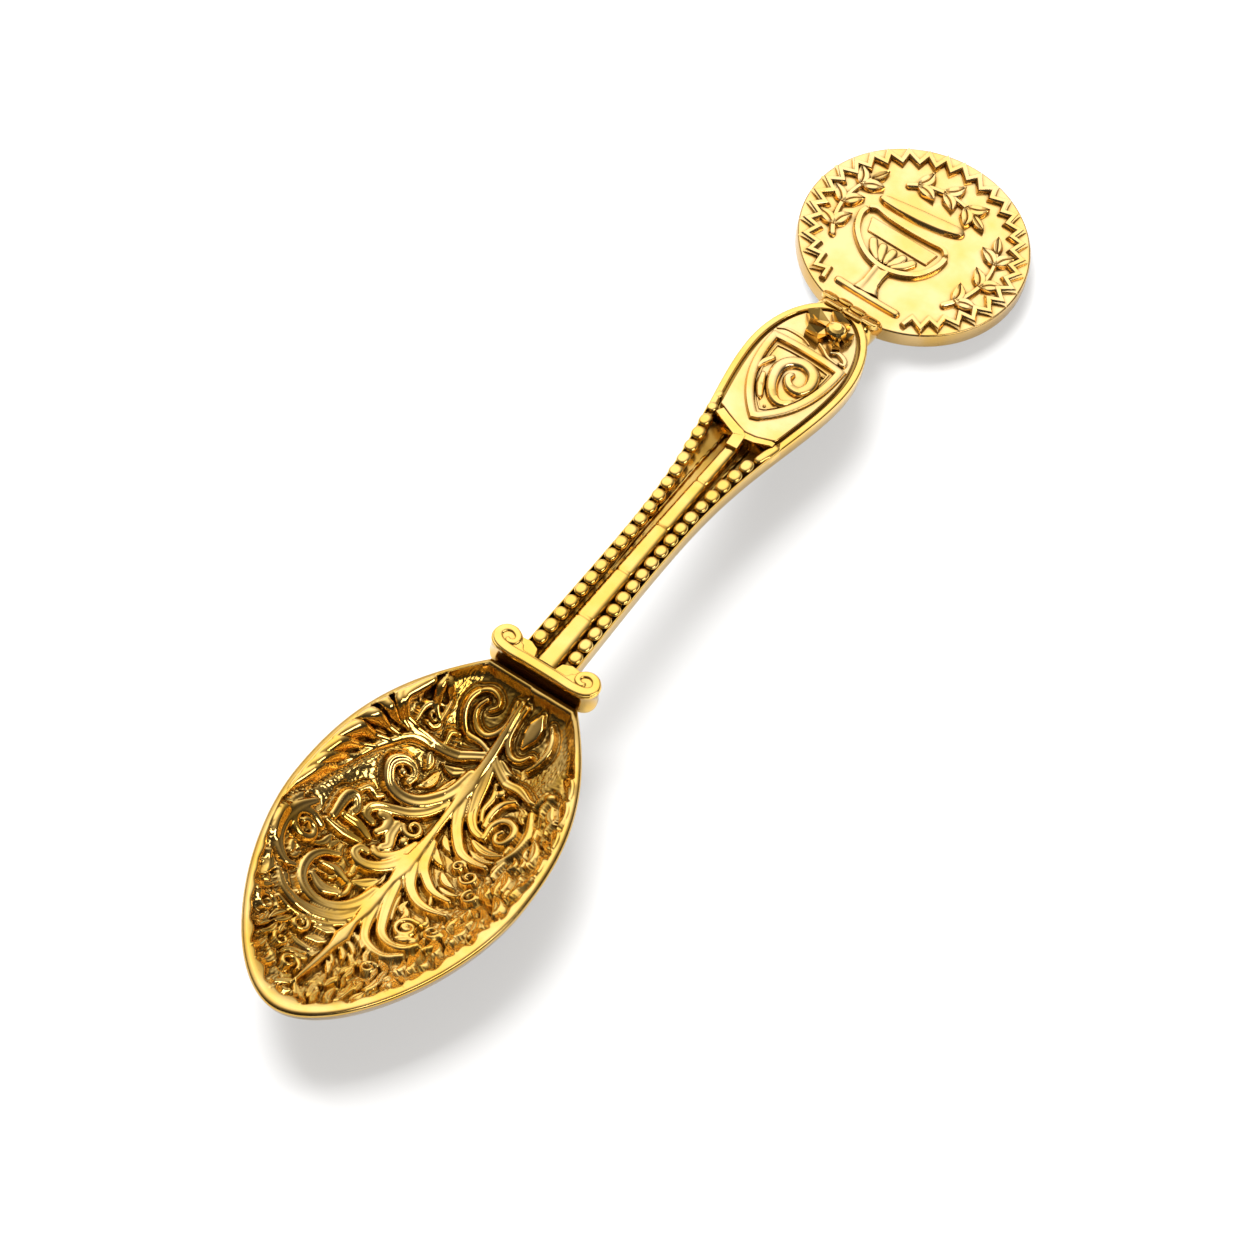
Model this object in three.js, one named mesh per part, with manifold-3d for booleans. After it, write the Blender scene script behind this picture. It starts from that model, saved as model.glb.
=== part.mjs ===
// An ornate gilt spoon: a chased bowl, a scrolled collar, a beaded handle with a shield, and a medallion.
// Millimetres, +Z up, +Y from the bowl's tip towards the medallion. The spoon lies on z = 0, on the flat
// under its bowl and on the medallion's far edge, and the origin is on that surface under the middle of its
// length.
import * as THREE from "three";
import { mergeVertices } from "three/addons/utils/BufferGeometryUtils.js";
import Module from "manifold-3d";

const wasm = await Module();
wasm.setup();

// Fits
const SOLDER_GAP = 0.1; // between faces that are soldered together
const CUT_CLEAR = 2; // how far a cutting body reaches past what it cuts

// Bowl
const BOWL_LENGTH = 42.4; // from the tip to the face on the collar
const BOWL_WIDTH = 24.6;
const BOWL_WIDEST_AT = 22; // from the tip
const BOWL_DEEPEST_AT = 25.5; // from the tip
const BOWL_FULLNESS = 1.3; // 1 makes the bowl's sections half-ellipses, 2 makes them parabolas
const NECK_WIDTH = 9.2;
const TIP_HEIGHT = 7.5; // of the rim above the table, at the tip
const NECK_HEIGHT = 9.1; // and at the neck
const RIM_WIDTH = 1.2;
const FLOOR_THICKNESS = 1.4;
const REST_FLAT_LENGTH = 12; // of the flat under the bowl
const TIP_HANDLE = 5.5; // the outline's curve handles, at the tip
const FLANK_TIP_HANDLE = 9.8; // at the widest place, towards the tip
const FLANK_NECK_HANDLE = 8.4; // and towards the neck
const SHOULDER_OUT = 5.6; // and at the neck, outwards
const SHOULDER_BACK = 6.4; // and towards the tip

// Chased vine on the bowl's floor
const STEM_RADIUS = 0.6;
const BRANCH_RADIUS = 0.45;
const STEM_TIP_MARGIN = 6; // bare floor between the stem and the bowl's tip
const STEM_NECK_MARGIN = 5; // and the neck
const CURL_TURNS = 1.1;
const CURL_EYE_SHARE = 0.35; // of the curl's radius
const BRANCHES = [
  // where the branch leaves the stem, the middle of its curl across and along the bowl, and the curl's
  // radius; places along the bowl are from its neck
  { leaves: 4, across: -2.3, along: 3.8, radius: 1.9 },
  { leaves: 9.2, across: -5.8, along: 12.4, radius: 1.7 },
  { leaves: 17.2, across: -3.9, along: 18.8, radius: 1.4 },
  { leaves: 23.2, across: -5, along: 26.2, radius: 2.2 },
  { leaves: 4, across: 2.5, along: 3.8, radius: 1.8 },
  { leaves: 7.7, across: 5.2, along: 12.4, radius: 1.6 },
  { leaves: 16.7, across: 4.6, along: 19.8, radius: 1.6 },
  { leaves: 21.7, across: 3.8, along: 26.4, radius: 1.6 },
];

// Collar
const COLLAR_BAR_DEPTH = 1.25;
const COLLAR_ABOVE_RIM = 0.75;
const COLLAR_GRIP = 2.2; // how far the collar reaches below the rim
const VOLUTE_RADIUS = 1.45;
const VOLUTE_GROOVE = 0.3; // the width of the scroll's groove
const VOLUTE_GROOVE_DEPTH = 0.4;
const TANG_WIDTH = 3;
const TANG_HEIGHT = 0.8;
const TANG_IN_BOWL = 0.6;

// Handle
const HANDLE_LENGTH = 51; // from the collar's bar to the cartouche's end
const HANDLE_THICKNESS = 2.4;
const HANDLE_BELOW_COLLAR = 0.35; // its top, under the collar's top
const ARCH_RISE = 0.6; // of the handle's top above the straight line between its ends
const FOOT_WIDTH = 5.3;
const WAIST_WIDTH = 4.9;
const WAIST_AT = 15; // from the collar's bar
const CARTOUCHE_WIDTH = 10.5;
const CARTOUCHE_CAP = 8.6; // from the widest place to the end
const HANDLE_CHAMFER = 0.25;
const FLARE_POWER = 1.5; // how late the handle widens

// Channel, beads and rod
const LIP_WIDTH = 0.15;
const CHANNEL_DEPTH = 1.1;
const BEAD_RADIUS = 0.6;
const BEAD_PITCH = 1.68;
const BEAD_WIRE_RADIUS = 0.28;
const ROD_FOOT_WIDTH = 1.35;
const ROD_END_WIDTH = 1.05;
const ROD_HEIGHT = 0.85;
const ROD_RING_PITCH = 6.4;
const ROD_RING_DEPTH = 0.12;
const ROD_RING_WIDTH = 0.4;

// Cartouche: yoke, plate, shield and bud
const YOKE_FROM_WIDEST = 9; // from the cartouche's widest place to the middle of the yoke's lower edge
const YOKE_RISE = 2.4; // of the yoke's ends above its middle
const YOKE_WIDTH = 0.6;
const YOKE_PROUD = 0.2;
const SOCKET_WIDTH = 1.5;
const SOCKET_LENGTH = 2;
const CARTOUCHE_RIM = 0.75;
const PLATE_THICKNESS = 0.45;
const PLATE_GROOVE = 0.25; // the groove between the plate and the rim
const RELIEF = 0.42; // the height of the ornaments
const SHIELD_WIDTH = 7.8;
const SHIELD_LENGTH = 10;
const SHIELD_TOP_FROM_WIDEST = 2.7; // towards the medallion
const SHIELD_CROWN = 0.25; // the rise of the top edge's middle
const SHIELD_FRAME = 0.65;
const SCROLL_FROM_FRAME = 0.5;
const SCROLL_RADIUS = 1.75;
const SCROLL_EYE = 0.35;
const SCROLL_TURNS = 1.25;
const SCROLL_WIDTH = 0.62;
const SCROLL_DROP = 2.9; // of the scroll's stalk below its middle
const BUD_RADIUS = 1.75;
const BUD_NOTCH = 1.05; // the radius between its petals
const BUD_PETALS = 6;
const BUD_HEIGHT = 0.7;
const BUD_BALL = 0.75;
const BUD_FROM_END = 2.8;
const LEAF_LENGTH = 2.6;
const LEAF_WIDTH = 0.9;

// Medallion and clasp
const MEDALLION_DIAMETER = 21.5;
const MEDALLION_THICKNESS = 1.75;
const MEDALLION_TILT = THREE.MathUtils.degToRad(4);
const MEDALLION_STEP = 2.4; // of the handle's end above the medallion's near edge
const END_TO_MEDALLION = 1.2;
const CLASP_WIDTH = 6.1;
const CLASP_WALL = 0.6; // over and under what it holds
const CLASP_GRIP = 0.9; // how far it reaches over the medallion and the handle
const ZIGZAG_TEETH = 36;
const ZIGZAG_MARGIN = 0.35; // from the medallion's edge
const ZIGZAG_DEPTH = 1.45;
const ZIGZAG_WIDTH = 0.42;
const GOBLET_X = -0.6; // of its middle line
const CUP_WIDTH = 9.4;
const CUP_HEIGHT = 4.9;
const CUP_WALL = 0.6;
const CUP_RIM_Y = 0.6; // above the medallion's middle
const CUP_BAND = 1.3; // from the rim to the band below it
const GOBLET_STEM_WIDTH = 1.7;
const GOBLET_STEM_LENGTH = 3.1;
const GOBLET_FOOT_WIDTH = 7.1;
const GOBLET_FOOT_HEIGHT = 0.75;
const LID_WIDTH = 8.6;
const LID_HEIGHT = 2;
const LID_ABOVE_RIM = 1.15; // from the cup's rim to the lid's lower edge
const SPRIG_STEM_WIDTH = 0.4;
const SPRIG_LEAF_LENGTH = 1.7;
const SPRIG_LEAF_WIDTH = 0.75;
const SPRIG_LEAF_PAIRS = 3;
const SIDE_SPRIG_RADIUS = 7.6; // of the arcs that the sprigs grow along
const TOP_SPRIG_RADIUS = 6.3;

// Places along the spoon, with the middle of its length at 0
const medallionRadius = MEDALLION_DIAMETER / 2;
const barLength = COLLAR_BAR_DEPTH + 2 * SOLDER_GAP;
const medallionReach = 2 * medallionRadius * Math.cos(MEDALLION_TILT);
const totalLength = BOWL_LENGTH + barLength + HANDLE_LENGTH + END_TO_MEDALLION + medallionReach;
const tipY = -totalLength / 2;
const neckY = tipY + BOWL_LENGTH;
const barFrontY = neckY + SOLDER_GAP;
const barBackY = barFrontY + COLLAR_BAR_DEPTH;
const handleY = barBackY + SOLDER_GAP;
const handleEndY = handleY + HANDLE_LENGTH;
const wideY = handleEndY - CARTOUCHE_CAP;
const medallionY = totalLength / 2 - medallionReach / 2;

// Heights
const medallionRise = medallionRadius * Math.sin(MEDALLION_TILT);
const medallionTopZ = MEDALLION_THICKNESS * Math.cos(MEDALLION_TILT) + medallionRise;
const medallionNearZ = medallionTopZ + medallionRise;
const collarTopZ = NECK_HEIGHT + COLLAR_ABOVE_RIM;
const collarBottomZ = NECK_HEIGHT - COLLAR_GRIP;
const handleStartZ = collarTopZ - HANDLE_BELOW_COLLAR;
const handleEndZ = medallionNearZ + MEDALLION_STEP;

// The height of the handle's top at a place along it.
function archZ(y) {
  const along = (y - handleY) / HANDLE_LENGTH;
  return THREE.MathUtils.lerp(handleStartZ, handleEndZ, along) + 4 * ARCH_RISE * along * (1 - along);
}

// The heights of the plate's seat and of its top, which lies level with the handle's.
const plateTopZ = (y) => archZ(y);
const plateSeatZ = (y) => archZ(y) - PLATE_THICKNESS - SOLDER_GAP;

// Half the handle's width, less an inset that also shortens its round end.
function handleHalf(y, inset = 0) {
  const waistY = handleY + WAIST_AT;
  if (y >= wideY) {
    const along = Math.min((y - wideY) / (CARTOUCHE_CAP - inset), 1);
    return (CARTOUCHE_WIDTH / 2 - inset) * Math.sqrt(1 - along * along);
  }
  if (y >= waistY) {
    const share = Math.pow((y - waistY) / (wideY - waistY), FLARE_POWER);
    const flare = THREE.MathUtils.smoothstep(share, 0, 1);
    return THREE.MathUtils.lerp(WAIST_WIDTH, CARTOUCHE_WIDTH, flare) / 2 - inset;
  }
  const taper = THREE.MathUtils.smoothstep((y - handleY) / WAIST_AT, 0, 1);
  return THREE.MathUtils.lerp(FOOT_WIDTH, WAIST_WIDTH, taper) / 2 - inset;
}

// Places along the handle, closer together round its end, up to where the inset outline is endWidth wide.
function handleStations(from, inset = 0, endWidth = 0.8) {
  const straightSteps = 26;
  const capSteps = 8;
  const places = [];
  for (let i = 0; i < straightSteps; i++) {
    places.push(THREE.MathUtils.lerp(from, wideY, i / straightSteps));
  }
  const lastTurn = Math.acos(endWidth / (CARTOUCHE_WIDTH - 2 * inset));
  for (let i = 0; i <= capSteps; i++) {
    places.push(wideY + (CARTOUCHE_CAP - inset) * Math.sin((lastTurn * i) / capSteps));
  }
  return places;
}

// A mesh of triangles as a solid, and back.
function solidOf(geometry) {
  const loose = geometry.index ? geometry.toNonIndexed() : geometry;
  const bare = new THREE.BufferGeometry().setAttribute("position", loose.getAttribute("position"));
  const merged = mergeVertices(bare, 1e-4);
  const vertProperties = merged.getAttribute("position").array;
  const triVerts = new Uint32Array(merged.index.array);
  return new wasm.Manifold(new wasm.Mesh({ numProp: 3, vertProperties, triVerts }));
}

function geometryOf(solid) {
  const mesh = solid.getMesh();
  const geometry = new THREE.BufferGeometry();
  geometry.setAttribute("position", new THREE.BufferAttribute(mesh.vertProperties, 3));
  geometry.setIndex(new THREE.BufferAttribute(mesh.triVerts, 1));
  const faceted = geometry.toNonIndexed();
  faceted.computeVertexNormals();
  return faceted;
}

function union(solids) {
  return solids.reduce((joined, solid) => joined.add(solid));
}

// A closed solid through rings that all have the same number of points. Each end is closed round its middle.
function loft(rings) {
  const count = rings[0].length;
  const points = rings.flat();
  const index = [];
  for (let k = 0; k + 1 < rings.length; k++) {
    for (let i = 0; i < count; i++) {
      const [a, b] = [k * count + i, k * count + ((i + 1) % count)];
      index.push(a, b, b + count, a, b + count, a + count);
    }
  }
  for (const [k, order] of [[0, 1], [rings.length - 1, -1]]) {
    const middle = rings[k].reduce((sum, p) => sum.add(p), new THREE.Vector3()).divideScalar(count);
    points.push(middle);
    for (let i = 0; i < count; i++) {
      const pair = [k * count + ((i + 1) % count), k * count + i];
      index.push(points.length - 1, ...(order > 0 ? pair : pair.reverse()));
    }
  }
  const volume = index.reduce((sum, _, i) => {
    if (i % 3) return sum;
    const [p, q, r] = [points[index[i]], points[index[i + 1]], points[index[i + 2]]];
    return sum + p.dot(new THREE.Vector3().crossVectors(q, r));
  }, 0);
  const facingOut = volume < 0 ? index.reverse() : index;
  return solidOf(new THREE.BufferGeometry().setFromPoints(points).setIndex(facingOut));
}

// A bar along the handle between two heights, with chamfered edges.
function bar(stations, half, top, bottom, chamfer = 0) {
  return loft(
    stations.map((y) => {
      const [w, t, b] = [half(y), top(y), bottom(y)];
      const corners = chamfer
        ? [[chamfer - w, b], [w - chamfer, b], [w, b + chamfer], [w, t - chamfer],
           [w - chamfer, t], [chamfer - w, t], [-w, t - chamfer], [-w, b + chamfer]]
        : [[-w, b], [w, b], [w, t], [-w, t]];
      return corners.map(([x, z]) => new THREE.Vector3(x, y, z));
    }),
  );
}

// The direction of a line of points at one of them.
function heading(points, i) {
  const next = points[Math.min(i + 1, points.length - 1)];
  const last = points[Math.max(i - 1, 0)];
  return next.clone().sub(last).normalize();
}

// A round bar along points, with its own radius at each share of its length.
function tube(points, radiusAt, sides) {
  const up = new THREE.Vector3(0, 0, 1);
  return loft(
    points.map((p, i) => {
      const ahead = heading(points, i);
      const across = new THREE.Vector3().crossVectors(ahead, up).normalize();
      const over = new THREE.Vector3().crossVectors(across, ahead);
      const radius = radiusAt(i / (points.length - 1));
      return Array.from({ length: sides }, (_, k) => {
        const turn = (2 * Math.PI * k) / sides;
        const side = across.clone().multiplyScalar(radius * Math.cos(turn));
        return side.addScaledVector(over, radius * Math.sin(turn)).add(p);
      });
    }),
  );
}

function prism(shape, bottom, height, curveSegments = 10) {
  const geometry = new THREE.ExtrudeGeometry(shape, { depth: height, bevelEnabled: false, curveSegments });
  return solidOf(geometry.translate(0, 0, bottom));
}

function box(width, depth, height, x, y, z) {
  return solidOf(new THREE.BoxGeometry(width, depth, height).translate(x, y, z));
}

// A flat ribbon along plan points, with its own half-width at each share of its length.
function ribbon(points, halfAt) {
  const sides = [[], []];
  points.forEach((p, i) => {
    const ahead = heading(points, i);
    const across = new THREE.Vector2(-ahead.y, ahead.x).multiplyScalar(halfAt(i / (points.length - 1)));
    sides[0].push(p.clone().add(across));
    sides[1].unshift(p.clone().sub(across));
  });
  return new THREE.Shape(sides.flat());
}

// A leaf: pointed at both ends, from a plan point along a direction.
function leafShape(from, angle, length, width) {
  const along = new THREE.Vector2(Math.cos(angle), Math.sin(angle));
  const across = new THREE.Vector2(-along.y, along.x);
  const at = (l, w) => from.clone().addScaledVector(along, l * length).addScaledVector(across, w * width);
  const [left, tip, right] = [at(0.45, 1), at(1, 0), at(0.45, -1)];
  const shape = new THREE.Shape().moveTo(from.x, from.y);
  shape.quadraticCurveTo(right.x, right.y, tip.x, tip.y);
  shape.quadraticCurveTo(left.x, left.y, from.x, from.y);
  return shape;
}

// Plan points on a spiral from one radius to another.
function spiral(middle, fromRadius, toRadius, fromAngle, turns, steps) {
  return Array.from({ length: steps + 1 }, (_, i) => {
    const radius = THREE.MathUtils.lerp(fromRadius, toRadius, i / steps);
    const angle = fromAngle + (2 * Math.PI * turns * i) / steps;
    return new THREE.Vector2(middle.x + radius * Math.cos(angle), middle.y + radius * Math.sin(angle));
  });
}

// Sets an ornament that was made on z = 0 down on the plate, which follows the handle's arch.
function onPlate(solid) {
  return solid.warp((p) => {
    p[2] += plateTopZ(p[1]) + SOLDER_GAP;
  });
}

// Bowl: the rim's outline, from the neck's right corner round the tip to its left corner
const bowlMiddle = new THREE.Vector2(0, tipY + BOWL_DEEPEST_AT);
const outlineSteps = 15;

function bowlOutline() {
  const half = BOWL_WIDTH / 2;
  const widestY = tipY + BOWL_WIDEST_AT;
  const at = (x, y) => new THREE.Vector2(x, y);
  const shoulder = new THREE.CubicBezierCurve(
    at(NECK_WIDTH / 2, neckY),
    at(NECK_WIDTH / 2 + SHOULDER_OUT, neckY - SHOULDER_BACK),
    at(half, widestY + FLANK_NECK_HANDLE),
    at(half, widestY),
  );
  const flank = new THREE.CubicBezierCurve(
    at(half, widestY),
    at(half, widestY - FLANK_TIP_HANDLE),
    at(TIP_HANDLE, tipY),
    at(0, tipY),
  );
  const right = [...shoulder.getPoints(outlineSteps), ...flank.getPoints(outlineSteps).slice(1)];
  const left = right.slice(0, -1).reverse().map((p) => at(-p.x, p.y));
  return [...right, ...left];
}
const outline = bowlOutline();

// The rim's height at a place along the bowl: it rises from the tip to the neck.
function rimZ(y) {
  return THREE.MathUtils.mapLinear(y, tipY, neckY, TIP_HEIGHT, NECK_HEIGHT);
}

// The rim's outline drawn in towards the bowl's middle, by a width and then to a share of itself, and let
// down towards a floor: fall is 0 at the rim and 1 at the floor.
function bowlRing(share, inset, floorZ, fall) {
  return outline.map((p) => {
    const ray = p.clone().sub(bowlMiddle);
    ray.setLength((ray.length() - inset) * share).add(bowlMiddle);
    return new THREE.Vector3(ray.x, ray.y, THREE.MathUtils.lerp(rimZ(p.y), floorZ, fall));
  });
}

// How far the bowl has fallen from its rim at a share of the way from its middle to its rim.
function bowlFall(share) {
  return Math.pow(Math.max(1 - share * share, 0), BOWL_FULLNESS / 2);
}

// The height of the bowl's inside at a plan point.
function bowlInsideZ(point) {
  const ray = point.clone().sub(bowlMiddle);
  const corners = [...outline, outline[0]];
  for (let i = 0; i + 1 < corners.length; i++) {
    const from = corners[i].clone().sub(bowlMiddle);
    const side = corners[i + 1].clone().sub(corners[i]);
    const along = from.cross(side) / ray.cross(side);
    const share = from.cross(ray) / ray.cross(side);
    if (along > 0 && share >= 0 && share <= 1) {
      const reach = ray.length() * along - RIM_WIDTH;
      const rim = rimZ(corners[i].y + share * side.y);
      return THREE.MathUtils.lerp(rim, FLOOR_THICKNESS, bowlFall(Math.min(ray.length() / reach, 0.98)));
    }
  }
  return FLOOR_THICKNESS;
}

// The chased stem down the bowl's middle, with branches that fall towards the tip and curl back.
function vine() {
  const onFloor = (p) => new THREE.Vector3(p.x, p.y, bowlInsideZ(p));
  const stemTop = neckY - STEM_NECK_MARGIN;
  const stemEnd = tipY + STEM_TIP_MARGIN;
  const stemSteps = 14;
  const stemPoints = Array.from({ length: stemSteps + 1 }, (_, i) =>
    onFloor(new THREE.Vector2(0, THREE.MathUtils.lerp(stemTop, stemEnd, i / stemSteps))));
  const pieces = [tube(stemPoints, (s) => STEM_RADIUS * (1 - 0.6 * s), 6)];
  for (const { leaves, across, along, radius } of BRANCHES) {
    const side = Math.sign(across);
    const eye = new THREE.Vector2(across, neckY - along);
    const fromAngle = Math.PI * (1.5 - 0.1 * side);
    const curl = spiral(eye, radius, radius * CURL_EYE_SHARE, fromAngle, side * CURL_TURNS, 12);
    const lead = new THREE.QuadraticBezierCurve(
      new THREE.Vector2(0, neckY - leaves),
      new THREE.Vector2(side * STEM_RADIUS, curl[0].y),
      curl[0],
    ).getPoints(3).slice(0, -1);
    pieces.push(tube([...lead, ...curl].map(onFloor), (s) => BRANCH_RADIUS * (1 - 0.4 * s), 5));
  }
  return union(pieces);
}

function makeBowl() {
  const flatShare = REST_FLAT_LENGTH / BOWL_LENGTH;
  const levels = 9;
  const rings = [];
  for (let k = 0; k <= levels; k++) {
    const share = Math.sin((Math.PI / 2) * (k / levels));
    rings.push(bowlRing(THREE.MathUtils.lerp(flatShare, 1, share), 0, 0, bowlFall(share)));
  }
  for (let k = levels; k > 0; k--) {
    const share = Math.sin((Math.PI / 2) * (k / levels));
    rings.push(bowlRing(share, RIM_WIDTH, FLOOR_THICKNESS, bowlFall(share)));
  }
  return loft(rings).add(vine()).subtract(tangBody(SOLDER_GAP));
}

// Collar
const tangZ = collarBottomZ + COLLAR_GRIP / 2;

// The handle's tongue, which goes through the collar's bar into the bowl's neck, grown by a clearance.
function tangBody(clearance) {
  const from = neckY - TANG_IN_BOWL - clearance;
  const length = handleY + CUT_CLEAR - from;
  return box(TANG_WIDTH + 2 * clearance, length, TANG_HEIGHT + 2 * clearance, 0, from + length / 2, tangZ);
}

function makeCollar() {
  const height = collarTopZ - collarBottomZ;
  const voluteX = FOOT_WIDTH / 2 + SOLDER_GAP + VOLUTE_RADIUS;
  const voluteY = barFrontY + VOLUTE_RADIUS;
  const barShape = new THREE.Shape([
    new THREE.Vector2(-voluteX, barFrontY),
    new THREE.Vector2(voluteX, barFrontY),
    new THREE.Vector2(voluteX, barBackY),
    new THREE.Vector2(-voluteX, barBackY),
  ]);
  let collar = prism(barShape, collarBottomZ, height);
  for (const side of [-1, 1]) {
    const disc = new THREE.Shape().absarc(side * voluteX, voluteY, VOLUTE_RADIUS, 0, 2 * Math.PI);
    collar = collar.add(prism(disc, collarBottomZ, height));
    const middle = new THREE.Vector2(side * voluteX, voluteY);
    const groove = spiral(middle, VOLUTE_RADIUS * 0.72, VOLUTE_RADIUS * 0.3, Math.PI * 1.5, side * 0.85, 16);
    const cut = ribbon(groove, () => VOLUTE_GROOVE / 2);
    collar = collar.subtract(prism(cut, collarTopZ - VOLUTE_GROOVE_DEPTH, VOLUTE_GROOVE_DEPTH + CUT_CLEAR));
  }
  return collar.subtract(tangBody(SOLDER_GAP));
}

// Handle
const channelFloor = (y) => archZ(y) - CHANNEL_DEPTH;
const aboveHandle = (y) => archZ(y) + CUT_CLEAR;

// The plan area beyond the yoke's lower edge, moved along the spoon by a shift.
function beyondYoke(shift) {
  const half = CARTOUCHE_WIDTH;
  const middleY = wideY - YOKE_FROM_WIDEST + shift;
  const rise = YOKE_RISE * (half / (CARTOUCHE_WIDTH / 2)) ** 2;
  const shape = new THREE.Shape().moveTo(-half, middleY + rise);
  shape.quadraticCurveTo(0, middleY - rise, half, middleY + rise);
  shape.lineTo(half, medallionY);
  shape.lineTo(-half, medallionY);
  return prism(shape, 0, collarTopZ + CUT_CLEAR, 40);
}

function makeHandle() {
  const body = bar(
    handleStations(handleY),
    handleHalf,
    archZ,
    (y) => archZ(y) - HANDLE_THICKNESS,
    HANDLE_CHAMFER,
  );
  const channel = bar(
    [handleY - CUT_CLEAR, ...handleStations(handleY, LIP_WIDTH)],
    (y) => handleHalf(Math.max(y, handleY), LIP_WIDTH),
    aboveHandle,
    channelFloor,
  ).subtract(beyondYoke(YOKE_WIDTH));
  const seat = bar(
    handleStations(handleY, CARTOUCHE_RIM),
    (y) => handleHalf(y, CARTOUCHE_RIM),
    aboveHandle,
    plateSeatZ,
  ).intersect(beyondYoke(YOKE_WIDTH - SOLDER_GAP));
  const tang = tangBody(0);
  return body.subtract(channel).subtract(seat).add(tang);
}

// A row of beads on a wire, along one edge of the channel: a round bar that swells at every bead.
function makeBeads(side) {
  const startY = barFrontY + 2 * VOLUTE_RADIUS + BEAD_RADIUS;
  const endY = wideY - YOKE_FROM_WIDEST - SOLDER_GAP - BEAD_RADIUS;
  const gaps = Math.floor((endY - startY) / BEAD_PITCH);
  const place = (y) => {
    const x = side * (handleHalf(y, LIP_WIDTH) - SOLDER_GAP - BEAD_RADIUS);
    return new THREE.Vector3(x, y, channelFloor(y) + SOLDER_GAP + BEAD_RADIUS);
  };
  const necks = Math.sqrt(BEAD_RADIUS ** 2 - BEAD_WIRE_RADIUS ** 2);
  const points = [];
  const radii = [];
  for (let i = 0; i <= gaps; i++) {
    const middleY = THREE.MathUtils.lerp(startY, endY, i / gaps);
    for (const along of [-necks, -BEAD_RADIUS / 2, 0, BEAD_RADIUS / 2, necks]) {
      points.push(place(middleY + along));
      radii.push(Math.sqrt(BEAD_RADIUS ** 2 - along ** 2));
    }
  }
  return tube(points, (s) => radii[Math.round(s * (radii.length - 1))], 6);
}

// The half-round rod down the middle of the channel, ringed at a steady pitch.
function makeRod() {
  const startY = handleY + SOLDER_GAP;
  const endY = wideY - YOKE_FROM_WIDEST - SOCKET_LENGTH - SOLDER_GAP;
  const places = [startY];
  for (let y = startY + ROD_RING_PITCH; y < endY - ROD_RING_WIDTH; y += ROD_RING_PITCH) {
    places.push(y - ROD_RING_WIDTH, y, y + ROD_RING_WIDTH);
  }
  places.push(endY);
  const sides = 8;
  return loft(
    places.map((y, i) => {
      const ring = i % 3 === 2 && i < places.length - 1 ? ROD_RING_DEPTH : 0;
      const half = THREE.MathUtils.mapLinear(y, startY, endY, ROD_FOOT_WIDTH, ROD_END_WIDTH) / 2 - ring;
      const floorZ = channelFloor(y) + SOLDER_GAP;
      return Array.from({ length: sides + 1 }, (_, k) => {
        const turn = (Math.PI * k) / sides;
        return new THREE.Vector3(half * Math.cos(turn), y, floorZ + (ROD_HEIGHT - ring) * Math.sin(turn));
      });
    }),
  );
}

// The raised lip under the plate, with the socket that the rod's end stands in.
function makeYoke() {
  const inset = LIP_WIDTH + SOLDER_GAP;
  const lip = bar(
    handleStations(handleY, inset),
    (y) => handleHalf(y, inset),
    (y) => archZ(y) + YOKE_PROUD,
    (y) => channelFloor(y) + SOLDER_GAP,
  );
  const band = beyondYoke(SOLDER_GAP).subtract(beyondYoke(YOKE_WIDTH - 2 * SOLDER_GAP));
  const middleY = wideY - YOKE_FROM_WIDEST;
  const socket = bar(
    [middleY - SOCKET_LENGTH, middleY, middleY + YOKE_WIDTH - 3 * SOLDER_GAP],
    () => SOCKET_WIDTH / 2,
    (y) => archZ(y) + YOKE_PROUD,
    (y) => channelFloor(y) + SOLDER_GAP,
  );
  return lip.intersect(band).add(socket);
}

function makePlate() {
  const inset = CARTOUCHE_RIM + PLATE_GROOVE;
  return bar(
    handleStations(handleY, inset),
    (y) => handleHalf(y, inset),
    plateTopZ,
    (y) => plateTopZ(y) - PLATE_THICKNESS,
  ).intersect(beyondYoke(YOKE_WIDTH));
}

// Shield
const shieldTopY = wideY + SHIELD_TOP_FROM_WIDEST;

function shieldPath(path, inset) {
  const half = SHIELD_WIDTH / 2 - inset;
  const top = shieldTopY - inset;
  const tip = shieldTopY - SHIELD_LENGTH + inset * 1.6;
  const belly = THREE.MathUtils.lerp(top, tip, 0.55);
  path.moveTo(-half, top).quadraticCurveTo(0, top + 2 * SHIELD_CROWN, half, top);
  path.quadraticCurveTo(half, belly, 0, tip).quadraticCurveTo(-half, belly, -half, top);
  return path;
}

function makeShieldFrame() {
  const outside = prism(shieldPath(new THREE.Shape(), 0), 0, RELIEF);
  const inside = prism(shieldPath(new THREE.Shape(), SHIELD_FRAME), -CUT_CLEAR, RELIEF + 2 * CUT_CLEAR);
  return onPlate(outside.subtract(inside));
}

// The spiral leaf inside the shield.
function makeShieldScroll() {
  const middle = new THREE.Vector2(0, shieldTopY - SHIELD_FRAME - SCROLL_FROM_FRAME - SCROLL_RADIUS);
  const curl = spiral(middle, SCROLL_RADIUS - SCROLL_WIDTH / 4, SCROLL_EYE, Math.PI, -SCROLL_TURNS, 28);
  const stalk = new THREE.QuadraticBezierCurve(
    new THREE.Vector2(middle.x + SCROLL_WIDTH / 2, middle.y - SCROLL_DROP),
    new THREE.Vector2(curl[0].x, middle.y - SCROLL_DROP / 2),
    curl[0],
  ).getPoints(8).slice(0, -1);
  const half = (s) => (SCROLL_WIDTH / 2) * (0.45 + 0.55 * Math.sin(Math.PI * Math.min(s + 0.25, 1)));
  return onPlate(prism(ribbon([...stalk, ...curl], half), 0, RELIEF));
}

// Bud and leaf at the cartouche's end
const budY = handleEndY - BUD_FROM_END;

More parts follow.
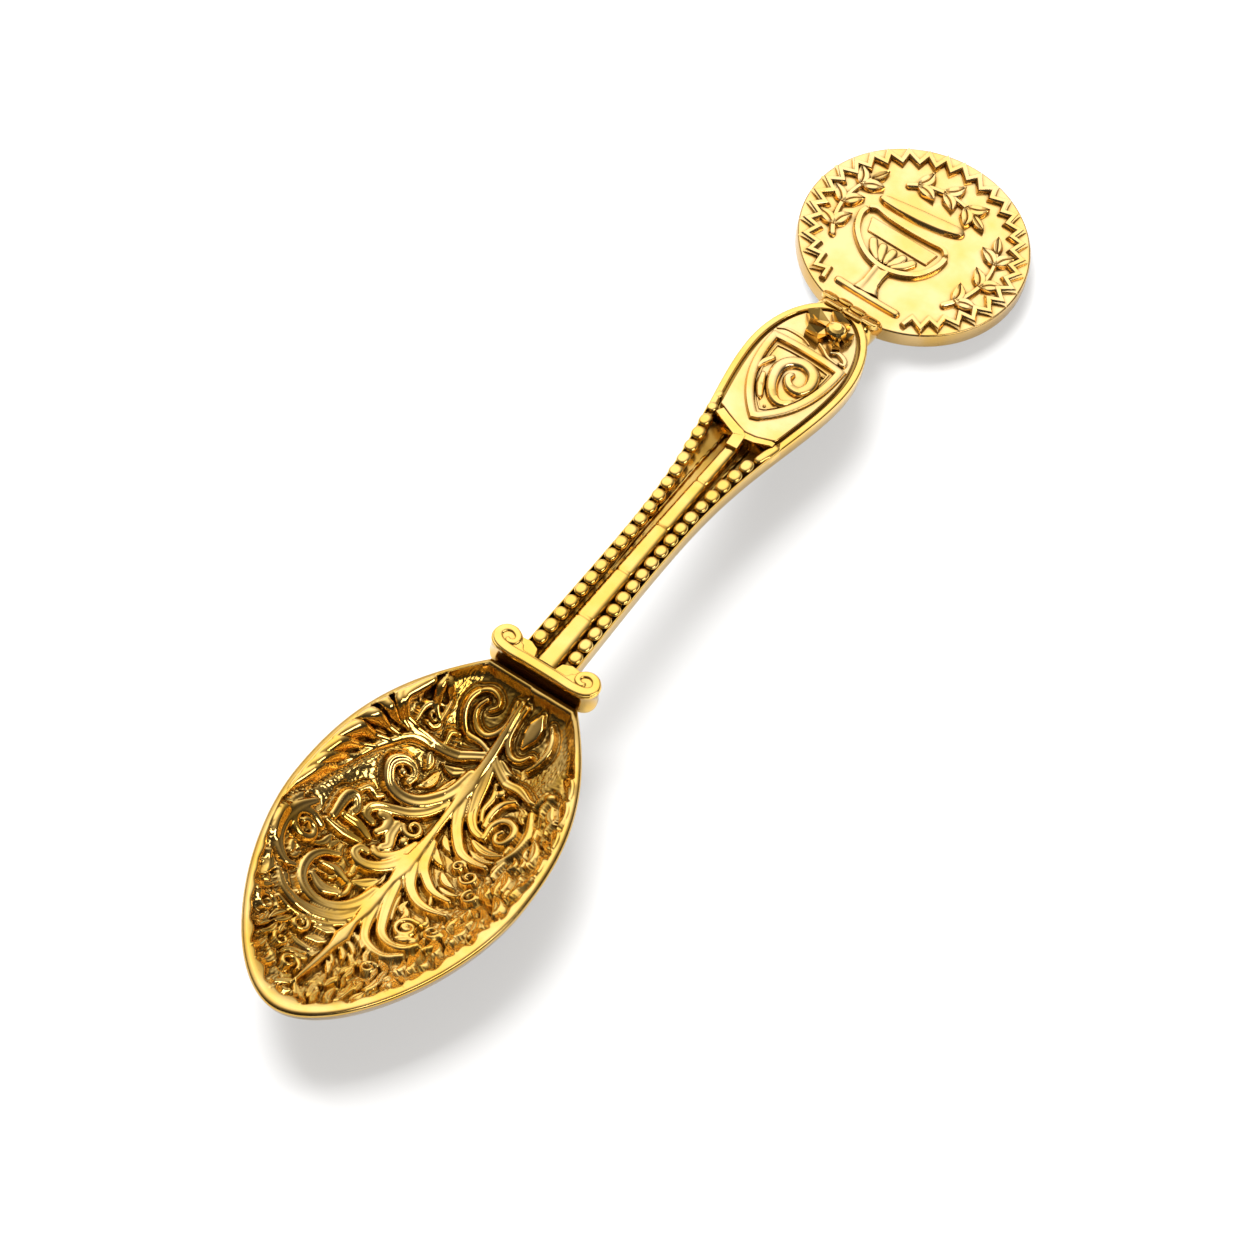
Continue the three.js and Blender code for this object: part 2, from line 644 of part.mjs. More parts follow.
function makeBud() {
  const corners = Array.from({ length: 2 * BUD_PETALS }, (_, i) => {
    const turn = (Math.PI * i) / BUD_PETALS + Math.PI / 2;
    const radius = i % 2 ? BUD_NOTCH : BUD_RADIUS;
    return new THREE.Vector2(radius * Math.cos(turn), budY + radius * Math.sin(turn));
  });
  const ball = solidOf(new THREE.SphereGeometry(BUD_BALL, 10, 8).translate(0, budY, BUD_HEIGHT));
  const above = box(2 * BUD_RADIUS, 2 * BUD_RADIUS, 2 * BUD_BALL, 0, budY, BUD_BALL + BUD_HEIGHT / 2);
  return onPlate(prism(new THREE.Shape(corners), 0, BUD_HEIGHT).add(ball.intersect(above)));
}

function makeBudLeaf() {
  const angle = -Math.PI / 4;
  const from = new THREE.Vector2(1, -1).setLength(BUD_RADIUS + SOLDER_GAP).add(new THREE.Vector2(0, budY));
  const room = from.y - shieldTopY - SOLDER_GAP;
  const length = Math.min(LEAF_LENGTH, room / Math.sin(-angle));
  return onPlate(prism(leafShape(from, angle, length, LEAF_WIDTH), 0, RELIEF));
}

// Clasp: a block between the handle's end and the medallion, with a jaw for each
function makeClasp() {
  const backY = handleEndY - CLASP_GRIP;
  const frontY = medallionY - medallionRadius + CLASP_GRIP;
  const topBack = archZ(backY) + CLASP_WALL;
  const topFront = medallionNearZ + CLASP_WALL + SOLDER_GAP;
  const bottomFront = medallionNearZ - MEDALLION_THICKNESS;
  const bottomBack = handleEndZ - HANDLE_THICKNESS - CLASP_WALL;
  const side = new THREE.Shape([
    new THREE.Vector2(backY, bottomBack),
    new THREE.Vector2(frontY, bottomFront),
    new THREE.Vector2(frontY, topFront),
    new THREE.Vector2(backY, topBack),
  ]);
  const block = new THREE.ExtrudeGeometry(side, { depth: CLASP_WIDTH, bevelEnabled: false });
  block.translate(0, 0, -CLASP_WIDTH / 2);
  block.applyMatrix4(new THREE.Matrix4().makeBasis(
    new THREE.Vector3(0, 1, 0),
    new THREE.Vector3(0, 0, 1),
    new THREE.Vector3(1, 0, 0),
  ));
  const handleRoom = bar(
    handleStations(wideY - CUT_CLEAR, -SOLDER_GAP),
    (y) => handleHalf(y, -SOLDER_GAP),
    (y) => archZ(y) + SOLDER_GAP,
    (y) => archZ(y) - HANDLE_THICKNESS - SOLDER_GAP,
  );
  const budRoom = box(2 * BUD_RADIUS + 2 * SOLDER_GAP, 2 * (BUD_RADIUS + SOLDER_GAP), 2 * CUT_CLEAR,
    0, budY, archZ(budY) + CUT_CLEAR);
  const roomHeight = MEDALLION_THICKNESS + CUT_CLEAR;
  const roomRadius = medallionRadius + SOLDER_GAP;
  const disc = new THREE.CylinderGeometry(roomRadius, roomRadius, roomHeight, 96);
  disc.rotateX(Math.PI / 2).translate(0, 0, SOLDER_GAP - roomHeight / 2);
  const medallionRoom = solidOf(disc.rotateX(-MEDALLION_TILT).translate(0, medallionY, medallionTopZ));
  return solidOf(block).subtract(handleRoom).subtract(budRoom).subtract(medallionRoom);
}

// Medallion, with its ornaments on z = 0 of its own tilted frame
function makeMedallionDisc() {
  const disc = new THREE.CylinderGeometry(medallionRadius, medallionRadius, MEDALLION_THICKNESS, 72);
  return solidOf(disc.rotateX(Math.PI / 2).translate(0, 0, -MEDALLION_THICKNESS / 2));
}

function makeZigzag() {
  const outer = medallionRadius - ZIGZAG_MARGIN;
  const line = (shift) =>
    Array.from({ length: 2 * ZIGZAG_TEETH }, (_, i) => {
      const turn = (Math.PI * i) / ZIGZAG_TEETH;
      const radius = outer - ZIGZAG_WIDTH - (i % 2 ? ZIGZAG_DEPTH - ZIGZAG_WIDTH : 0) + shift;
      return new THREE.Vector2(radius * Math.cos(turn), radius * Math.sin(turn));
    });
  const outside = prism(new THREE.Shape(line(ZIGZAG_WIDTH)), SOLDER_GAP, RELIEF);
  const inside = prism(new THREE.Shape(line(0)), -CUT_CLEAR, RELIEF + 2 * CUT_CLEAR);
  const claspHalf = CLASP_WIDTH / 2 + SOLDER_GAP;
  const clearY = Math.min(
    medallionRadius - CLASP_GRIP,
    Math.sqrt((outer - ZIGZAG_DEPTH) ** 2 - claspHalf ** 2),
  ) - SOLDER_GAP;
  const claspRoom = box(2 * claspHalf, medallionRadius, 2 * CUT_CLEAR, 0, -clearY - medallionRadius / 2, 0);
  return outside.subtract(inside).subtract(claspRoom);
}

function makeGoblet() {
  const half = CUP_WIDTH / 2;
  const cupBottom = CUP_RIM_Y - CUP_HEIGHT;
  const footTop = cupBottom - GOBLET_STEM_LENGTH;
  const cup = (inset) => {
    const [side, top, bottom] = [half - inset, CUP_RIM_Y - inset, cupBottom + inset];
    const flank = cupBottom + CUP_HEIGHT / 3;
    const shape = new THREE.Shape().moveTo(side, top).lineTo(-side, top);
    shape.bezierCurveTo(-side, flank, -half / 2, bottom, 0, bottom);
    return shape.bezierCurveTo(half / 2, bottom, side, flank, side, top);
  };
  const inside = prism(cup(CUP_WALL), -CUT_CLEAR, RELIEF + 2 * CUT_CLEAR);
  const wall = prism(cup(0), SOLDER_GAP, RELIEF).subtract(inside);
  const bandTop = CUP_RIM_Y - CUP_BAND;
  const band = new THREE.Shape().moveTo(CUP_WALL / 2 - half, bandTop).lineTo(half - CUP_WALL / 2, bandTop);
  band.lineTo(half - CUP_WALL, bandTop - CUP_WALL).lineTo(CUP_WALL - half, bandTop - CUP_WALL);
  const stemHalf = GOBLET_STEM_WIDTH / 2;
  const flare = GOBLET_STEM_WIDTH;
  const stem = new THREE.Shape().moveTo(-stemHalf, cupBottom + CUP_WALL / 2);
  const footY = footTop - GOBLET_FOOT_HEIGHT / 2;
  stem.bezierCurveTo(-stemHalf, footTop + flare, -stemHalf, footTop, -flare, footY);
  stem.lineTo(flare, footY);
  stem.bezierCurveTo(stemHalf, footTop, stemHalf, footTop + flare, stemHalf, cupBottom + CUP_WALL / 2);
  const footHalf = GOBLET_FOOT_WIDTH / 2;
  const foot = new THREE.Shape().moveTo(-footHalf, footY);
  foot.quadraticCurveTo(0, footTop + GOBLET_FOOT_HEIGHT, footHalf, footY);
  foot.quadraticCurveTo(0, footTop - 1.5 * GOBLET_FOOT_HEIGHT, -footHalf, footY);
  const pieces = [wall, ...[band, stem, foot].map((s) => prism(s, SOLDER_GAP, RELIEF))];
  return union(pieces).translate([GOBLET_X, 0, 0]);
}

// The lens-shaped lid over the goblet.
function makeGobletLid() {
  const half = LID_WIDTH / 2;
  const middleY = CUP_RIM_Y + LID_ABOVE_RIM + LID_HEIGHT / 2;
  const shape = new THREE.Shape().moveTo(-half, middleY);
  shape.quadraticCurveTo(0, middleY + LID_HEIGHT, half, middleY);
  shape.quadraticCurveTo(0, middleY - LID_HEIGHT, -half, middleY);
  return prism(shape, SOLDER_GAP, RELIEF).translate([GOBLET_X, 0, 0]);
}

// A leaf sprig along an arc round the medallion's middle.
function makeSprig(radius, fromAngle, toAngle) {
  const arc = (share) => {
    const turn = THREE.MathUtils.lerp(fromAngle, toAngle, share);
    return new THREE.Vector2(radius * Math.cos(turn), radius * Math.sin(turn));
  };
  const steps = 14;
  const stemPoints = Array.from({ length: steps + 1 }, (_, i) => arc(i / steps));
  const shapes = [ribbon(stemPoints, (s) => (SPRIG_STEM_WIDTH / 2) * (1.2 - 0.5 * s))];
  const spread = THREE.MathUtils.degToRad(42);
  const forward = Math.sign(toAngle - fromAngle) * (Math.PI / 2);
  for (let i = 0; i < SPRIG_LEAF_PAIRS; i++) {
    const share = (i + 0.6) / SPRIG_LEAF_PAIRS;
    const growth = THREE.MathUtils.lerp(fromAngle, toAngle, share) + forward;
    for (const side of [-1, 1]) {
      shapes.push(leafShape(arc(share), growth + side * spread, SPRIG_LEAF_LENGTH, SPRIG_LEAF_WIDTH));
    }
  }
  shapes.push(leafShape(arc(1 - 1 / steps), toAngle + forward, SPRIG_LEAF_LENGTH, SPRIG_LEAF_WIDTH));
  return union(shapes.map((s) => prism(s, SOLDER_GAP, RELIEF, 3)));
}

// Materials
const polished = { color: 0xe0b04a, roughness: 0.18, metalness: 1 };
const chased = { color: 0xc9952f, roughness: 0.25, metalness: 1 };
const struck = { color: 0xe8c468, roughness: 0.28, metalness: 1 };

function named(name, solid, finish) {
  const mesh = new THREE.Mesh(geometryOf(solid), new THREE.MeshStandardMaterial(finish));
  mesh.name = name;
  return mesh;
}

const spoon = new THREE.Group();
spoon.add(
  named("bowl", makeBowl(), chased),
  named("collar", makeCollar(), polished),
  named("handle_body", makeHandle(), polished),
  named("bead_wire_left", makeBeads(-1), polished),
  named("bead_wire_right", makeBeads(1), polished),
  named("centre_rod", makeRod(), polished),
  named("rod_yoke", makeYoke(), polished),
  named("cartouche_plate", makePlate(), struck),
  named("shield_frame", makeShieldFrame(), struck),
  named("shield_scroll", makeShieldScroll(), struck),
  named("bud", makeBud(), polished),
  named("bud_leaf", makeBudLeaf(), struck),
  named("clasp", makeClasp(), polished),
);

const medallion = new THREE.Group();
medallion.position.set(0, medallionY, medallionTopZ);
medallion.rotation.x = -MEDALLION_TILT;
const deg = THREE.MathUtils.degToRad;
medallion.add(
  named("medallion_disc", makeMedallionDisc(), struck),
  named("zigzag_border", makeZigzag(), struck),
  named("goblet", makeGoblet(), struck),
  named("goblet_lid", makeGobletLid(), struck),
  named("sprig_left", makeSprig(SIDE_SPRIG_RADIUS, deg(215), deg(152)), struck),
  named("sprig_right", makeSprig(SIDE_SPRIG_RADIUS, deg(-40), deg(28)), struck),
  named("sprig_top", makeSprig(TOP_SPRIG_RADIUS, deg(130), deg(62)), struck),
);
spoon.add(medallion);

export default spoon;
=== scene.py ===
"""The looks of an ornate gilt spoon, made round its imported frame.

Shapes are worked out in millimetres in the frame's own axes: x across the spoon, y from the bowl's tip
towards the medallion, z up from the table. They become metres when a mesh is made.
"""
import math

import bmesh
import bpy
import numpy as np
from mathutils import Matrix, Vector


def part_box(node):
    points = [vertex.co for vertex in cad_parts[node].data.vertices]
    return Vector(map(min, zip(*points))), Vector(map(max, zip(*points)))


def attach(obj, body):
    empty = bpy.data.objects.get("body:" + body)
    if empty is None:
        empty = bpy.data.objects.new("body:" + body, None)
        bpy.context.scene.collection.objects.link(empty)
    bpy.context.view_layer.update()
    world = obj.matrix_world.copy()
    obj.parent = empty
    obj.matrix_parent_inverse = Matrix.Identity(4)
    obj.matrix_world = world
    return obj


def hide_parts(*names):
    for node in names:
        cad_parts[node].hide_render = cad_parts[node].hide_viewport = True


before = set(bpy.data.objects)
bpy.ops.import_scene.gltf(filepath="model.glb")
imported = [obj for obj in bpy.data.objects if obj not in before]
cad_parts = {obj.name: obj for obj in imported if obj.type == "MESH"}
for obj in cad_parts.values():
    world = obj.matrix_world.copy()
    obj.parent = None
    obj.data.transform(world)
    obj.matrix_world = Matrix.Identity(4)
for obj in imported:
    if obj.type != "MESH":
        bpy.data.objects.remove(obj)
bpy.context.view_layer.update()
chance = np.random.default_rng(7)

MM = 0.001


def node_box(node):
    """A CAD node's lowest and highest corners."""
    low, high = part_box(node)
    return np.array(low) / MM, np.array(high) / MM


# Places from the frame
bowl_low, bowl_high = node_box("bowl")
collar_low, collar_high = node_box("collar")
disc_low, disc_high = node_box("medallion_disc")
clasp_low, clasp_high = node_box("clasp")
tip_y, neck_y = bowl_low[1], bowl_high[1]
bar_front_y = collar_low[1]
collar_top_z, collar_bottom_z = collar_high[2], collar_low[2]
handle_end_y = node_box("handle_body")[1][1]
medallion_y = (disc_low[1] + disc_high[1]) / 2
medallion_radius = (disc_high[0] - disc_low[0]) / 2

# Bowl, with places along it from its tip
BOWL_HALF = bowl_high[0]
BOWL_WIDEST_AT = 22.0
BOWL_DEEPEST_AT = 25.5
BOWL_FALL_POWER = 0.85
OUTSIDE_ROUND = 2.6
OUTSIDE_FALL_POWER = 0.62
NECK_HALF = 4.6
TIP_HEIGHT = 7.5
NECK_BELOW_TOP = 1.1
NECK_HEIGHT = bowl_high[2] - NECK_BELOW_TOP
RIM_WIDTH = 1.2
RIM_FLARE = 0.72
RIM_FLARE_FROM = 0.8  # share of the way out
RIM_ROUND = 0.42
FLOOR_THICKNESS = 1.4
FLAT_SHARE = 0.283  # of the outline's size, for the flat under the bowl
LIP_SLOPE = 0.08
LIP_CURVE = 0.16
LIP_STEP_RUN = 0.8
LIP_OVERLAP = 0.15
LIP_WAVE = 0.35
LIP_WAVE_TURNS = (2.1, 0.67)  # radians for each millimetre along the rim
bowl_middle = np.array([0.0, tip_y + BOWL_DEEPEST_AT])

# The vine as it was read off the photo, and what it grows by
READ_FALL_POWER = 0.65
SETTLE_LIMIT = 0.98  # share of the way out
SIGHT_SLIDE = (0.27, -0.608)  # in plan, for each millimetre up the line of sight
SETTLE_DIGITS = 1
BROAD_FROM = 0.8
BROAD_GROWTH = 1.35
STROKE_GROWTH = 1.2
CURL_GROWTH = 1.05
BALL_GROWTH = 1.1
FURROW_GROWTH = 0.5
WIDTH_STEP = 0.05

# Handles of the curves in the bowl's outline
TIP_HANDLE = 5.5
FLANK_TIP_HANDLE = 9.8
FLANK_NECK_HANDLE = 8.4
SHOULDER_OUT = 5.6
SHOULDER_BACK = 6.4

# Grid of the bowl's inside, spaced along a middling section of it
GRID_ACROSS = 208
GRID_ALONG = 358
MIDDLING_REACH = 1.3 * BOWL_HALF
MIDDLING_DEPTH = TIP_HEIGHT - 1
INSIDE_EDGE_SHARE = 0.9955
OUTSIDE_EDGE_SHARE = 0.994

# Chasing
CARVED_DEPTH = 0.3
GROOVE_DEPTH = 0.2
STIPPLE_DEPTH = 0.008
BARE_BELOW = 0.2
BAND_HEIGHT = 0.6
BAND_FLATNESS = 3.2
CURL_EYE = 0.3
LEAF_HEIGHT = 0.5
BALL_HEIGHT = 0.5
RIB_WIDTHS = [0.8, 0.8, 0.6, 0.4]
RIB_HEIGHT = 0.65
LOBE_HEIGHT = 0.7
LOBE_FLATNESS = 2.2
LOBE_REACH = 1.0  # onto the lip
EDGE_RUN = 0.3
NECK_EDGE_RUN = 1.0
NECK_EDGE_LENGTH = 0.5

# Small leaves that fill the chased ground
FILL_TRIES = 500
FILL_ROOM = 0.5
FILL_FREE_HEIGHT = 0.12
FILL_BELOW = -38
FILL_RIGHT_OF = 3
FILL_RIGHT_BELOW = -25
FILL_LENGTHS = (1.6, 2.8)
FILL_SLIMNESS = 0.34
FILL_HEIGHT = 0.42
FILL_OUTWARD = 0.3
FILL_SPREAD = 0.5
FILL_BEND = 0.25

# Handle
COLLAR_BAR_DEPTH = 1.25
SOLDER_GAP = 0.1
HANDLE_THICKNESS = 2.4
HANDLE_BELOW_COLLAR = 0.35
HANDLE_LOW_ROUND = 0.8
HANDLE_TOP_ROUND = 0.22
ARCH_RISE = 0.6
FOOT_WIDTH = 5.3
WAIST_WIDTH = 4.9
WAIST_AT = 15.0
CARTOUCHE_WIDTH = 10.5
CARTOUCHE_CAP = 8.6
FLARE_POWER = 1.5
CHANNEL_DEPTH = 1.1
CHANNEL_LIP = 0.15
FILLET_HEIGHT = 0.35
FILLET_X = 1.3
FILLET_HALF = 0.12
FILLET_FROM = 12
FILLET_FADE = 6
POCKET_DEPTH = 0.3
POCKET_LENGTH = 5
POCKET_FADE = 2.5
CARTOUCHE_RIM = 0.75
PLATE_GROOVE = 0.25
PLATE_DEPTH = 0.55
PLATE_STEP_RUN = 1.2
PLATE_ABOVE_YOKE = 0.12
YOKE_FROM_WIDEST = 9.0
YOKE_DROP = 0.55
YOKE_PLACES = [-2.8, -2.0, -0.8, 0.3, 1.5, 2.9]
YOKE_RISES = [0.65, 0.25, -0.25, -0.65, -0.45, 0.15]
SHIELD_FROM_WIDEST = 2.1
BUD_FROM_END = 3.05
BUD_RADIUS = 1.15
BUD_HEIGHT = 1.3
PETAL_HEIGHTS = [0.62, 0.78, 0.86, 0.78, 0.62]
PETAL_HOLLOW = 0.25

# Beads, the wire under them and the strip that runs on from the right row
BEAD_PITCH = 1.62
BEAD_HALF_WIDTH = 0.64
BEAD_HALF_LENGTH = 0.78
BEAD_HEIGHT = 0.62
BEAD_FOOT = 0.45
BEAD_SINK = 0.9
BEAD_DROP = 0.34
BEAD_INSET = 0.74
BEAD_FROM_VOLUTE = 0.55
WIRE_HALF = 0.42
WIRE_HEIGHT = 0.5
WIRE_DROP = 0.72
STRIP_HALVES = [0.45, 0.6, 0.5]
STRIP_INSETS = (0.7, 0.45)
STRIP_HEIGHT = 0.78
STRIP_DROP = 0.68
STRIP_GAP = 0.85
STRIP_POINTS = 12

# Rod
ROD_WIDTHS = (2.4, 1.4)
ROD_LEAN = 0.25
ROD_HEIGHT = 1.3
ROD_SINK = 0.3
ROD_SQUARENESS = 0.6
ROD_END_FROM_YOKE = 2.6
ROD_POINTS = 19
NICK_PITCH = 6.4
NICK_DEPTH = 0.1
NICK_HALF = 0.13

# Collar, clasp and medallion
VOLUTE_RADIUS = 1.45
COLLAR_BAND_HEIGHT = 0.28
SEAM_HALF = (4.3, 0.3)
SEAM_BELOW_NECK = 0.7
CLASP_LOBE_HEIGHT = 0.24
CLASP_SQUARENESS = 0.55
MEDALLION_TILT = math.radians(4)
MEDALLION_THICKNESS = 1.75
MEDALLION_STEP = 2.4
MEDALLION_EDGE = 0.22
MEDALLION_WAVE = 0.012
ZIGZAG_TEETH = 36
ZIGZAG_RADII = (8.95, 10.0)
ZIGZAG_HALF = 0.38
ZIGZAG_OPEN_HALF = 22  # degrees, at the clasp
CUP_MIDDLE = -0.8
GADROON_PLACES = (-3.2, -2.0, CUP_MIDDLE, 0.4, 1.5)
SPRIG_PAIRS = 3
SPRIG_LEAF = (2.25, 1.5)  # length and width
SPRIG_LEAF_TURN = 46
SPRIG_END_LEAF = (1.7, 1.1)

# Relief on the flat places
RELIEF = 0.5
SINK = 0.2
MITRE_LIMIT = 0.45

# Gold. Painted shade, with patina as well on the bowl's ground, is given as shares of full darkness.
# Patina with painted shade over the bowl's bare ground, and painted shade in the grooves beside raised work
GROUND_PATINA_AND_SHADE = 0.3
GROOVE_PAINTED_SHADE = 0.5
# Painted shade on the bowl's bare ground near the neck
NECK_PAINTED_SHADE = 0.5
NECK_SHADE_LENGTH = 4.5
NECK_SHADE_FADE = 2
# Painted shade on outer sides: the bowl's outside, the handle's sides, the collar's seam and the medallion's
# edge
SIDE_PAINTED_SHADE = 0.5
# Painted shade in the handle's channel, heavier towards the yoke
CHANNEL_PAINTED_SHADE = (0.4, 0.8)
CHANNEL_SHADE_LENGTH = 9
CHANNEL_SHADE_FADE = 7
CHANNEL_DARK_DEPTHS = (0.6, 1.8)
CHANNEL_DARK_FADE = 0.3
SIDE_DARK_BAND = 0.3
SIDE_DARK_BELOW = 0.25
# Painted shade in corners and creases, found by the shader's ambient occlusion
CORNER_PAINTED_SHADE = 0.85
# The colour that painted shade and patina darken the gold towards
DARK_GOLD = (0.2, 0.1, 0.015)
RECESS_DULLNESS = 0.15
TINT_PATCH = 3.5
POLISH_PATCH = 1.2
POLISH_RANGE = (0.75, 1.35)
PIT_DEPTH = 0.02

# Places worked out from the sizes
handle_y = bar_front_y + COLLAR_BAR_DEPTH + SOLDER_GAP
handle_length = handle_end_y - handle_y
wide_y = handle_end_y - CARTOUCHE_CAP
yoke_y = wide_y - YOKE_FROM_WIDEST
shield_top = wide_y + SHIELD_FROM_WIDEST
bud_y = handle_end_y - BUD_FROM_END
volute_x = FOOT_WIDTH / 2 + SOLDER_GAP + VOLUTE_RADIUS
volute_y = bar_front_y + VOLUTE_RADIUS
medallion_rise = medallion_radius * math.sin(MEDALLION_TILT)
medallion_top_z = MEDALLION_THICKNESS * math.cos(MEDALLION_TILT) + medallion_rise
handle_start_z = collar_top_z - HANDLE_BELOW_COLLAR
handle_end_z = medallion_top_z + medallion_rise + MEDALLION_STEP


# Curves

def smoothstep(share):
    """0 up to 0, 1 from 1, and a smooth rise between."""
    share = np.clip(share, 0, 1)
    return share * share * (3 - 2 * share)


def lerp(a, b, share):
    """What lies a share of the way from a to b."""
    return a + (b - a) * share


def ridge(value, run):
    """1 at zero, falling on both sides within about a run."""
    return np.exp(-(value / run) ** 2)


def unit(vectors):
    """Vectors brought to a length of 1."""
    return vectors / np.linalg.norm(vectors, axis=-1)[..., None]


def bezier(a, b, c, d, steps=200):
    """A curve from a to d, with b and c as its handles."""
    t = np.linspace(0, 1, steps + 1)[:, None]
    a, b, c, d = (np.array(p, float) for p in (a, b, c, d))
    return (1 - t) ** 3 * a + 3 * (1 - t) ** 2 * t * b + 3 * (1 - t) * t * t * c + t ** 3 * d


def arc_length(path):
    """The distance along a path at each of its points."""
    return np.concatenate([[0], np.cumsum(np.linalg.norm(np.diff(path, axis=0), axis=1))])


def resampled(path, step):
    """The path with points at an even step."""
    along = arc_length(path)
    count = max(int(round(along[-1] / step)), 2)
    at = np.linspace(0, along[-1], count + 1)
    return np.stack([np.interp(at, along, path[:, k]) for k in range(path.shape[1])], axis=1)


def curve(points, step=0.12):
    """A smooth line through points, which may double back."""
    p = np.array(points, float)
    if len(p) == 2:
        return resampled(p, step)
    p = np.vstack([2 * p[0] - p[1], p, 2 * p[-1] - p[-2]])
    t = np.linspace(0, 1, 12, endpoint=False)[:, None]
    runs = []
    for a, b, c, d in zip(p, p[1:], p[2:], p[3:]):
        runs.append(0.5 * (2 * b + (c - a) * t + (2 * a - 5 * b + 4 * c - d) * t ** 2
                           + (3 * b - a - 3 * c + d) * t ** 3))
    runs.append(p[-2:-1])
    return resampled(np.vstack(runs), step)


def bent(start, end, bend):
    """A line's start, middle and end, with the middle moved sideways by a share of the length."""
    start, end = np.array(start, float), np.array(end, float)
    way = end - start
    return [start, (start + end) / 2 + bend * np.array([-way[1], way[0]]), end]


def arch_z(y):
    """The height of the handle's top at a place along it."""
    along = (y - handle_y) / handle_length
    return lerp(handle_start_z, handle_end_z, along) + 4 * ARCH_RISE * along * (1 - along)


def handle_half(y, inset=0.0):
    """Half the handle's width, less an inset that also shortens its round end."""
    y = np.asarray(y, float)
    waist_y = handle_y + WAIST_AT
    foot = lerp(FOOT_WIDTH, WAIST_WIDTH, smoothstep((y - handle_y) / WAIST_AT)) / 2
    share = np.clip((y - waist_y) / (wide_y - waist_y), 0, 1) ** FLARE_POWER
    flare = lerp(WAIST_WIDTH, CARTOUCHE_WIDTH, smoothstep(share)) / 2
    cap = np.clip((y - wide_y) / (CARTOUCHE_CAP - inset), 0, 1)
    end = (CARTOUCHE_WIDTH / 2 - inset) * np.sqrt(1 - cap * cap)
    return np.where(y >= wide_y, end, np.where(y >= waist_y, flare, foot) - inset)


# Shells: each is an array of points and a list of faces

def grid_faces(rows, columns, wrap_rows=False, wrap_columns=False):
    """The four-sided faces of a grid of points, which may close on itself either way."""
    r = np.arange(rows if wrap_rows else rows - 1)
    c = np.arange(columns if wrap_columns else columns - 1)
    r, c = (a.ravel() for a in np.meshgrid(r, c, indexing="ij"))
    next_r, next_c = (r + 1) % rows, (c + 1) % columns
    corners = [(r, c), (r, next_c), (next_r, next_c), (next_r, c)]
    return np.stack([row * columns + column for row, column in corners], axis=1).tolist()


def join(*shells):
    """Several shells as one."""
    points, faces, count = [], [], 0
    for p, f in shells:
        points.append(p)
        faces += [[i + count for i in face] for face in f]
        count += len(p)
    return np.vstack(points), faces


def level(plan, z):
    """Plan points at one height, or each at its own."""
    return np.column_stack([plan, np.broadcast_to(z, len(plan))])


def loft(rings):
    """A closed shell through rings of points, with both ends closed."""
    rows, columns = len(rings), len(rings[0])
    faces = grid_faces(rows, columns, wrap_columns=True)
    faces.append(list(range(columns)))
    faces.append(list(range((rows - 1) * columns, rows * columns)))
    return np.vstack(rings), faces


def both_sides(*right, middle=()):
    """A band's whole section, from its right half and the point in its middle if it has one."""
    return [(-across, up) for across, up in right[::-1]] + [*middle, *right]


# Sections of raised bands: places across in half-widths, and heights as shares of the band's height.
# A height of -1 is the skirt, which is sunk into what carries the band.
ROUND_BAND = both_sides((0.3, 1), (0.6, 0.94), (0.82, 0.8), (0.95, 0.55), (1, 0.2), (1, -1))
FLAT_BAND = both_sides((0.54, 1), (0.64, 0.93), (0.72, 0.75), (1, 0), (1, -1))
BEVELLED_BAND = both_sides((0.42, 1), (0.62, 0.85), (0.82, 0.5), (1, 0), (1, -1))
STEEP_BAND = both_sides((0.74, 1), (0.85, 0.95), (0.92, 0.82), (1, 0), (1, -1))
LEAF_BAND = both_sides((0.14, 0.88), (0.5, 1), (0.7, 0.92), (0.88, 0.6), (1, 0.1), (1, -1), middle=[(0, 0.6)])
FURROWED_BAND = both_sides((0.3, 0.84), (0.5, 1), (0.74, 0.96), (0.9, 0.7), (1, 0.2), (1, -1),
                           middle=[(0, 0.72)])


def sideways(path, closed, mitre):
    """The level direction to the left of a path at each point, longer at a mitred corner."""
    if closed:
        before, after = path - np.roll(path, 1, 0), np.roll(path, -1, 0) - path
    else:
        steps = np.diff(path, axis=0)
        before, after = np.vstack([steps[:1], steps]), np.vstack([steps, steps[-1:]])
    before, after = unit(before), unit(after)
    ahead = before + after
    ahead /= np.maximum(np.linalg.norm(ahead, axis=1)[:, None], 1e-6)
    side = np.stack([-ahead[:, 1], ahead[:, 0]], axis=1)
    if mitre:
        side /= np.maximum((ahead * after).sum(1), MITRE_LIMIT)[:, None]
    return side


def ribbon(path, half, height=RELIEF, section=ROUND_BAND, round_ends=True, closed=False, mitre=False):
    """A raised band along a plan path. half is one half-width, or several spread evenly along the path."""
    path = np.asarray(path, float)
    along = arc_length(path)
    widths = np.atleast_1d(half)
    widths = np.interp(along / along[-1], np.linspace(0, 1, len(widths)), widths)
    heights = np.full(len(path), float(height))
    if round_ends and not closed:
        reach = np.minimum(along, along[-1] - along) / max(np.max(widths), 1e-6)
        end = np.sqrt(1 - (1 - np.clip(reach, 0.01, 1)) ** 2)
        widths = widths * end
        heights = heights * np.sqrt(end)
    across, up = np.array(section, float).T
    side = sideways(path, closed, mitre)
    xy = path[:, None, :] + side[:, None, :] * (widths[:, None] * across[None, :])[:, :, None]
    z = np.where(up[None, :] < 0, -SINK, heights[:, None] * up[None, :])
    rings = np.concatenate([xy, z[:, :, None]], axis=2)
    if closed:
        return rings.reshape(-1, 3), grid_faces(*z.shape, wrap_rows=True, wrap_columns=True)
    return loft(list(rings))


